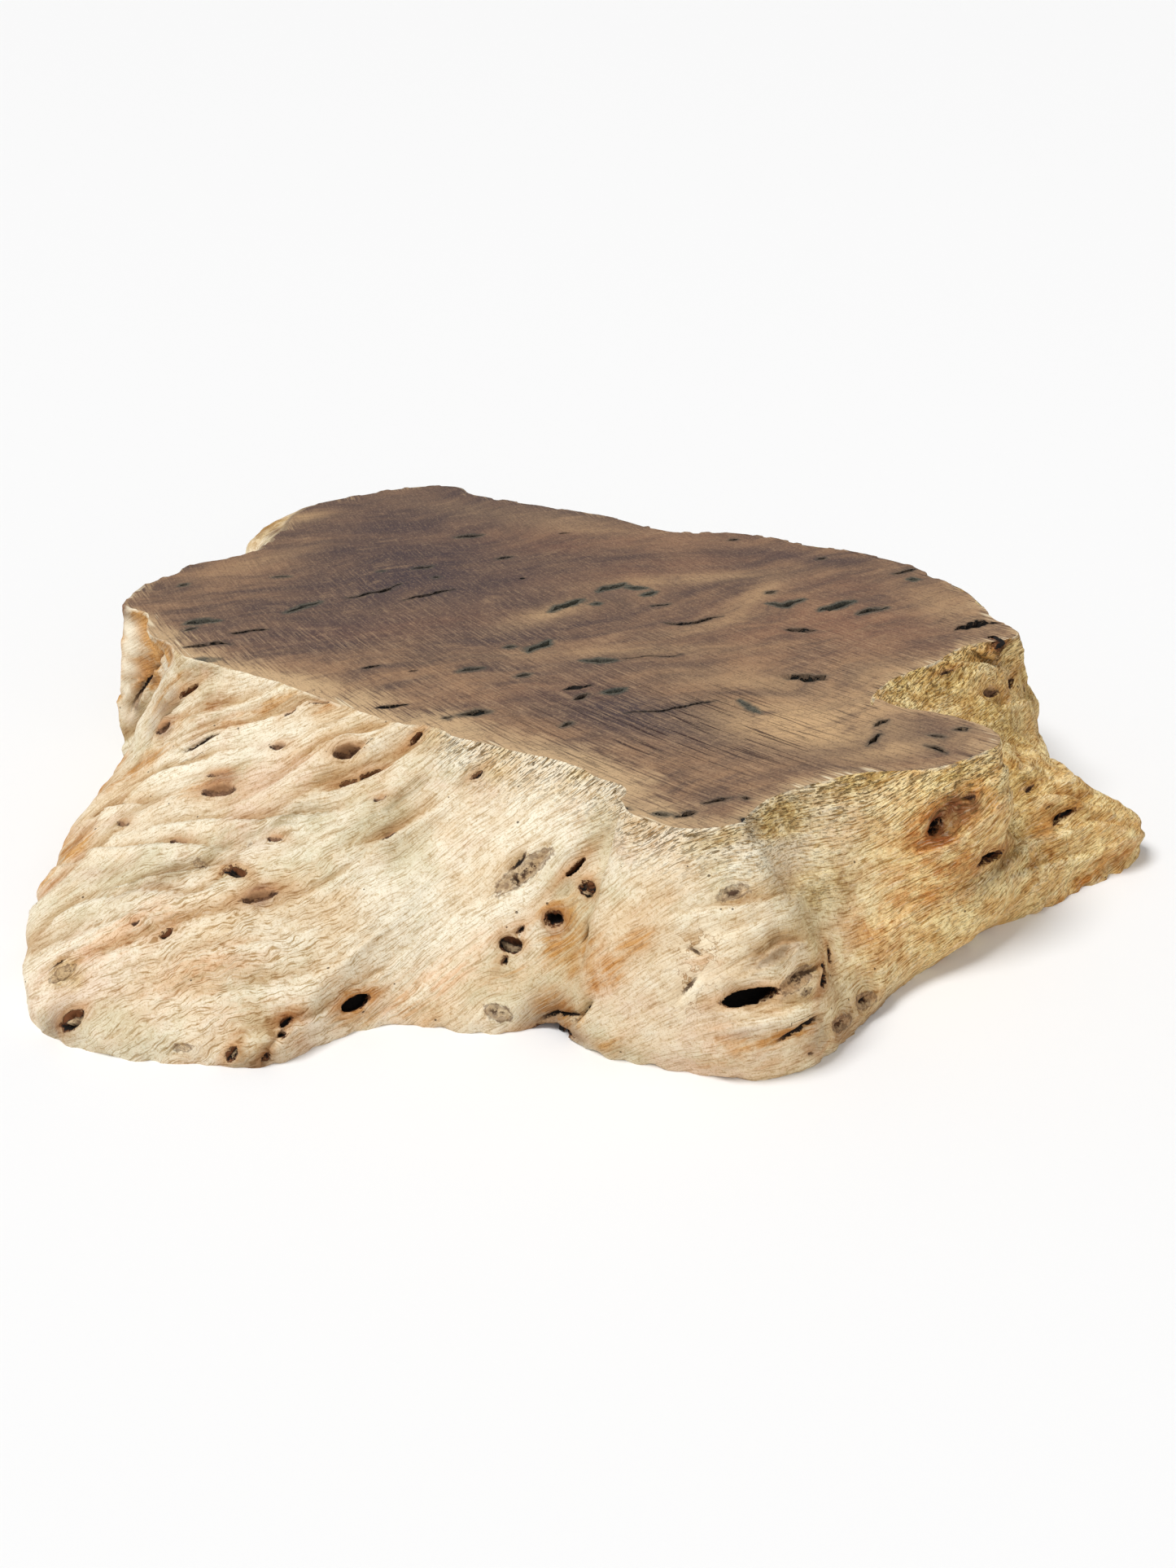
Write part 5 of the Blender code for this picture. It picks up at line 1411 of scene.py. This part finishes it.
def sawn_material(name, light):
    """A sawn face. light is how much of the pale tone of the underside it takes, and 0 for the top."""
    material = bpy.data.materials.new(name)
    material.use_nodes = True
    tree = material.node_tree
    shader = tree.nodes["Principled BSDF"]
    place = millimetres(tree)
    inputs = {"Place": place, "Centre": SAW_CENTRE}
    marks = put(tree, "ShaderNodeGroup", {"node_tree": saw_marks_group}, **inputs).outputs
    purple, red, tan = parts_of(tree, named_vector(tree, "face_stains"))
    scored_here, _, _ = parts_of(tree, named_vector(tree, "wide_stains_and_ridge_highlight"))
    crack_off, greened, edge_away = parts_of(tree, named_vector(tree, "cracks"))
    figure_at = named_vector(tree, "figure")
    vein = streaks(tree, figure_at, 18, 1.8)
    figure = clouds(tree, vector_sums(tree, "DIVIDE", figure_at, (46, 46, 12)), 1.0, 6.0, 0.62)
    patch = clouds(tree, vector_sums(tree, "DIVIDE", figure_at, (24, 24, 9)), 1.0, 6.0, 0.66)
    grit = clouds(tree, place, 1.3, 3.0, 0.65)
    # browns that lie along the grain, more purple, red or tan in places
    colour = blend(tree, between(tree, figure, 0.34, 0.66), sawn["dark brown"], sawn["pale brown"])
    purpled = times(tree, purple, between(tree, patch, 0.3, 0.5, 0.6, 1))
    colour = blend(tree, purpled, colour, sawn["purple"])
    reddened = times(tree, red, between(tree, patch, 0.38, 0.6, 0.3, 0.9))
    colour = blend(tree, reddened, colour, sawn["red"])
    tanned = times(tree, tan, between(tree, patch, 0.34, 0.56, 0.5, 1))
    colour = blend(tree, tanned, colour, sawn["tan"])
    colour = blend(tree, between(tree, patch, 0.54, 0.7, 0, 0.45), colour, sawn["pale patch"])
    colour = blend(tree, between(tree, patch, 0.44, 0.3, 0, 0.4), colour, sawn["dark patch"])
    # the rim is paler at the front left, streaked the way of the saw
    across, deep_in, _ = parts_of(tree, place)
    rim_behind = between(tree, deep_in, -70, 60, 0, 15)
    rim_lost = sums(tree, "MAXIMUM", rim_behind, between(tree, across, 10, 60, 0, 10))
    rim_wander = times(tree, clouds(tree, place, 0.05, 3.0), 24)
    rim_streak = times(tree, marks["Ridges"], 22)
    rim_share = minus(tree, plus(tree, edge_away, rim_lost), plus(tree, rim_wander, rim_streak))
    colour = blend(tree, between(tree, rim_share, -21, -6, 0.85, 0), colour, sawn["rim"])
    # grain and saw marks
    colour = blend(tree, between(tree, vein, 0.46, 0.34, 0, 0.25), colour, sawn["vein"])
    sawn_here = between(tree, clouds(tree, place, 0.022, 3.0, 0.6), 0.4, 0.62, 0.5, 1)
    sawn_here = times(tree, sawn_here, between(tree, deep_in, 90, -40, 0.35, 1))
    pale_lines = times(tree, between(tree, marks["Ridges"], 0.5, 0.7, 0, 0.4), sawn_here)
    colour = blend(tree, pale_lines, colour, sawn["ridge"])
    dark_lines = times(tree, between(tree, marks["Ridges"], 0.5, 0.3, 0, 0.6), sawn_here)
    colour = blend(tree, dark_lines, colour, sawn["furrow"])
    colour = blend(tree, between(tree, marks["Bands"], 0.5, 0.7, 0, 0.2), colour, sawn["band"])
    strokes = times(tree, between(tree, marks["Scores"], 0.46, 0.62, 0, 0.18), sawn_here)
    colour = blend(tree, strokes, colour, sawn["stroke"])
    scored = times(tree, between(tree, marks["Scores"], 0.4, 0.36, 0, 0.9), scored_here)
    colour = blend(tree, scored, colour, sawn["score"])
    colour = blend(tree, between(tree, grit, 0.54, 0.68, 0, 0.32), colour, sawn["pale grit"])
    colour = blend(tree, between(tree, grit, 0.46, 0.32, 0, 0.5), colour, sawn["dark grit"])
    # cracks, painted black within as shadow, some with grey-green edges; and pale chips on the arris
    ragged = plus(tree, crack_off, scaled(tree, clouds(tree, place, 0.7, 2.0), 1.6, -0.8))
    beside = between(tree, ragged, 1.4, 0.0, 0, 0.55)
    colour = blend(tree, beside, colour, sawn["beside a crack"])
    green = times(tree, between(tree, ragged, 3.0, 0.2, 0, 0.85), greened)
    green_wood = blend(tree, between(tree, grit, 0.4, 0.6), sawn["dark green"], sawn["pale green"])
    colour = blend(tree, green, colour, green_wood)
    crack = between(tree, scaled(tree, greened, 0.5, ragged), 0.1, -0.2)
    floor_tone = blend(tree, greened, sawn["crack"], sawn["green crack"])
    colour = blend(tree, crack, colour, floor_tone)
    chips = times(tree, between(tree, marks["Scores"], 0.53, 0.6), between(tree, edge_away, 4.5, 1.5))
    chips = times(tree, chips, between(tree, clouds(tree, place, 0.045, 1.0), 0.54, 0.62))
    chips = times(tree, chips, between(tree, deep_in, 40, -10))
    if not light:
        colour = blend(tree, times(tree, chips, 0.9), colour, sawn["chip"])
    else:
        colour = blend(tree, light, colour, sawn["fresh"])
    tree.links.new(colour, shader.inputs["Base Color"])
    height = plus(tree, times(tree, marks["Ridges"], 0.35), times(tree, grit, 0.15))
    height = minus(tree, minus(tree, height, scored), crack)
    bump = put(tree, "ShaderNodeBump", Strength=0.9, Distance=0.0006, Height=height)
    tree.links.new(bump.outputs[0], shader.inputs["Normal"])
    shader.inputs["Roughness"].default_value = 0.66
    shader.inputs["Specular IOR Level"].default_value = 0.35
    return material


burl_mesh.materials.append(flank_material())
burl_mesh.materials.append(sawn_material("sawn_top", 0.0))
burl_mesh.materials.append(sawn_material("sawn_underside", 0.45))
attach(burl, "root")
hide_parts("burl_slice")

# The studio
# A pale floor that runs out of sight, a big soft light high on the left, a weaker one on the right, and
# an even pale sky. The camera looks down at the front at 28 degrees.
FLOOR_HALF = 12.0
FLOOR_PALE = 0.86
# how bright the sky is as a light, and as the camera sees it
SKY_LIGHT, SKY_SEEN = 0.36, 1.0
CAMERA_AT = (-0.00709, -0.61895, 0.33194)
CAMERA_TURN = (math.radians(62), 0, 0)
CAMERA_LENS = 39.25

floor_mesh = bpy.data.meshes.new("studio_floor")
floor_corners = [(x * FLOOR_HALF, y * FLOOR_HALF, 0) for x, y in ((-1, -1), (1, -1), (1, 1), (-1, 1))]
floor_mesh.from_pydata(floor_corners, [], [(0, 1, 2, 3)])
floor = bpy.data.objects.new("studio_floor", floor_mesh)
bpy.context.scene.collection.objects.link(floor)
floor_paint = bpy.data.materials.new("pale_floor")
floor_paint.use_nodes = True
floor_shader = floor_paint.node_tree.nodes["Principled BSDF"]
floor_shader.inputs["Base Color"].default_value = (FLOOR_PALE, FLOOR_PALE, FLOOR_PALE, 1)
floor_shader.inputs["Roughness"].default_value = 0.9
floor_mesh.materials.append(floor_paint)


def soft_light(name, from_place, spread, strength):
    """A far lamp. Its light comes from a direction, spread over some degrees so that shadows are soft."""
    data = bpy.data.lights.new(name, "SUN")
    data.angle = math.radians(spread)
    data.energy = strength
    light = bpy.data.objects.new(name, data)
    light.rotation_euler = (-Vector(from_place)).to_track_quat("-Z", "Y").to_euler()
    bpy.context.scene.collection.objects.link(light)


soft_light("key_light", (-0.5, -0.25, 1.0), 22, 2.4)
soft_light("fill_light", (0.35, -1.0, 0.6), 60, 0.7)
sky = bpy.data.worlds.new("pale_sky")
sky.use_nodes = True
sky_tree = sky.node_tree
sky_tree.nodes.remove(sky_tree.nodes["Background"])
seen = put(sky_tree, "ShaderNodeLightPath").outputs["Is Camera Ray"]
seen_or_lighting = put(sky_tree, "ShaderNodeMixShader", _0=seen)
for i, strength in enumerate((SKY_LIGHT, SKY_SEEN), 1):
    white = put(sky_tree, "ShaderNodeBackground", Color=(1, 1, 1, 1), Strength=strength)
    sky_tree.links.new(white.outputs[0], seen_or_lighting.inputs[i])
sky_tree.links.new(seen_or_lighting.outputs[0], sky_tree.nodes["World Output"].inputs["Surface"])
bpy.context.scene.world = sky
bpy.context.scene.view_settings.view_transform = "Standard"

camera_data = bpy.data.cameras.new("front_camera")
camera_data.sensor_width = 36
camera_data.sensor_fit = "AUTO"
camera_data.lens = CAMERA_LENS
camera_data.clip_end = 100
camera = bpy.data.objects.new("front_camera", camera_data)
camera.location = CAMERA_AT
camera.rotation_euler = CAMERA_TURN
bpy.context.scene.collection.objects.link(camera)
bpy.context.scene.camera = camera
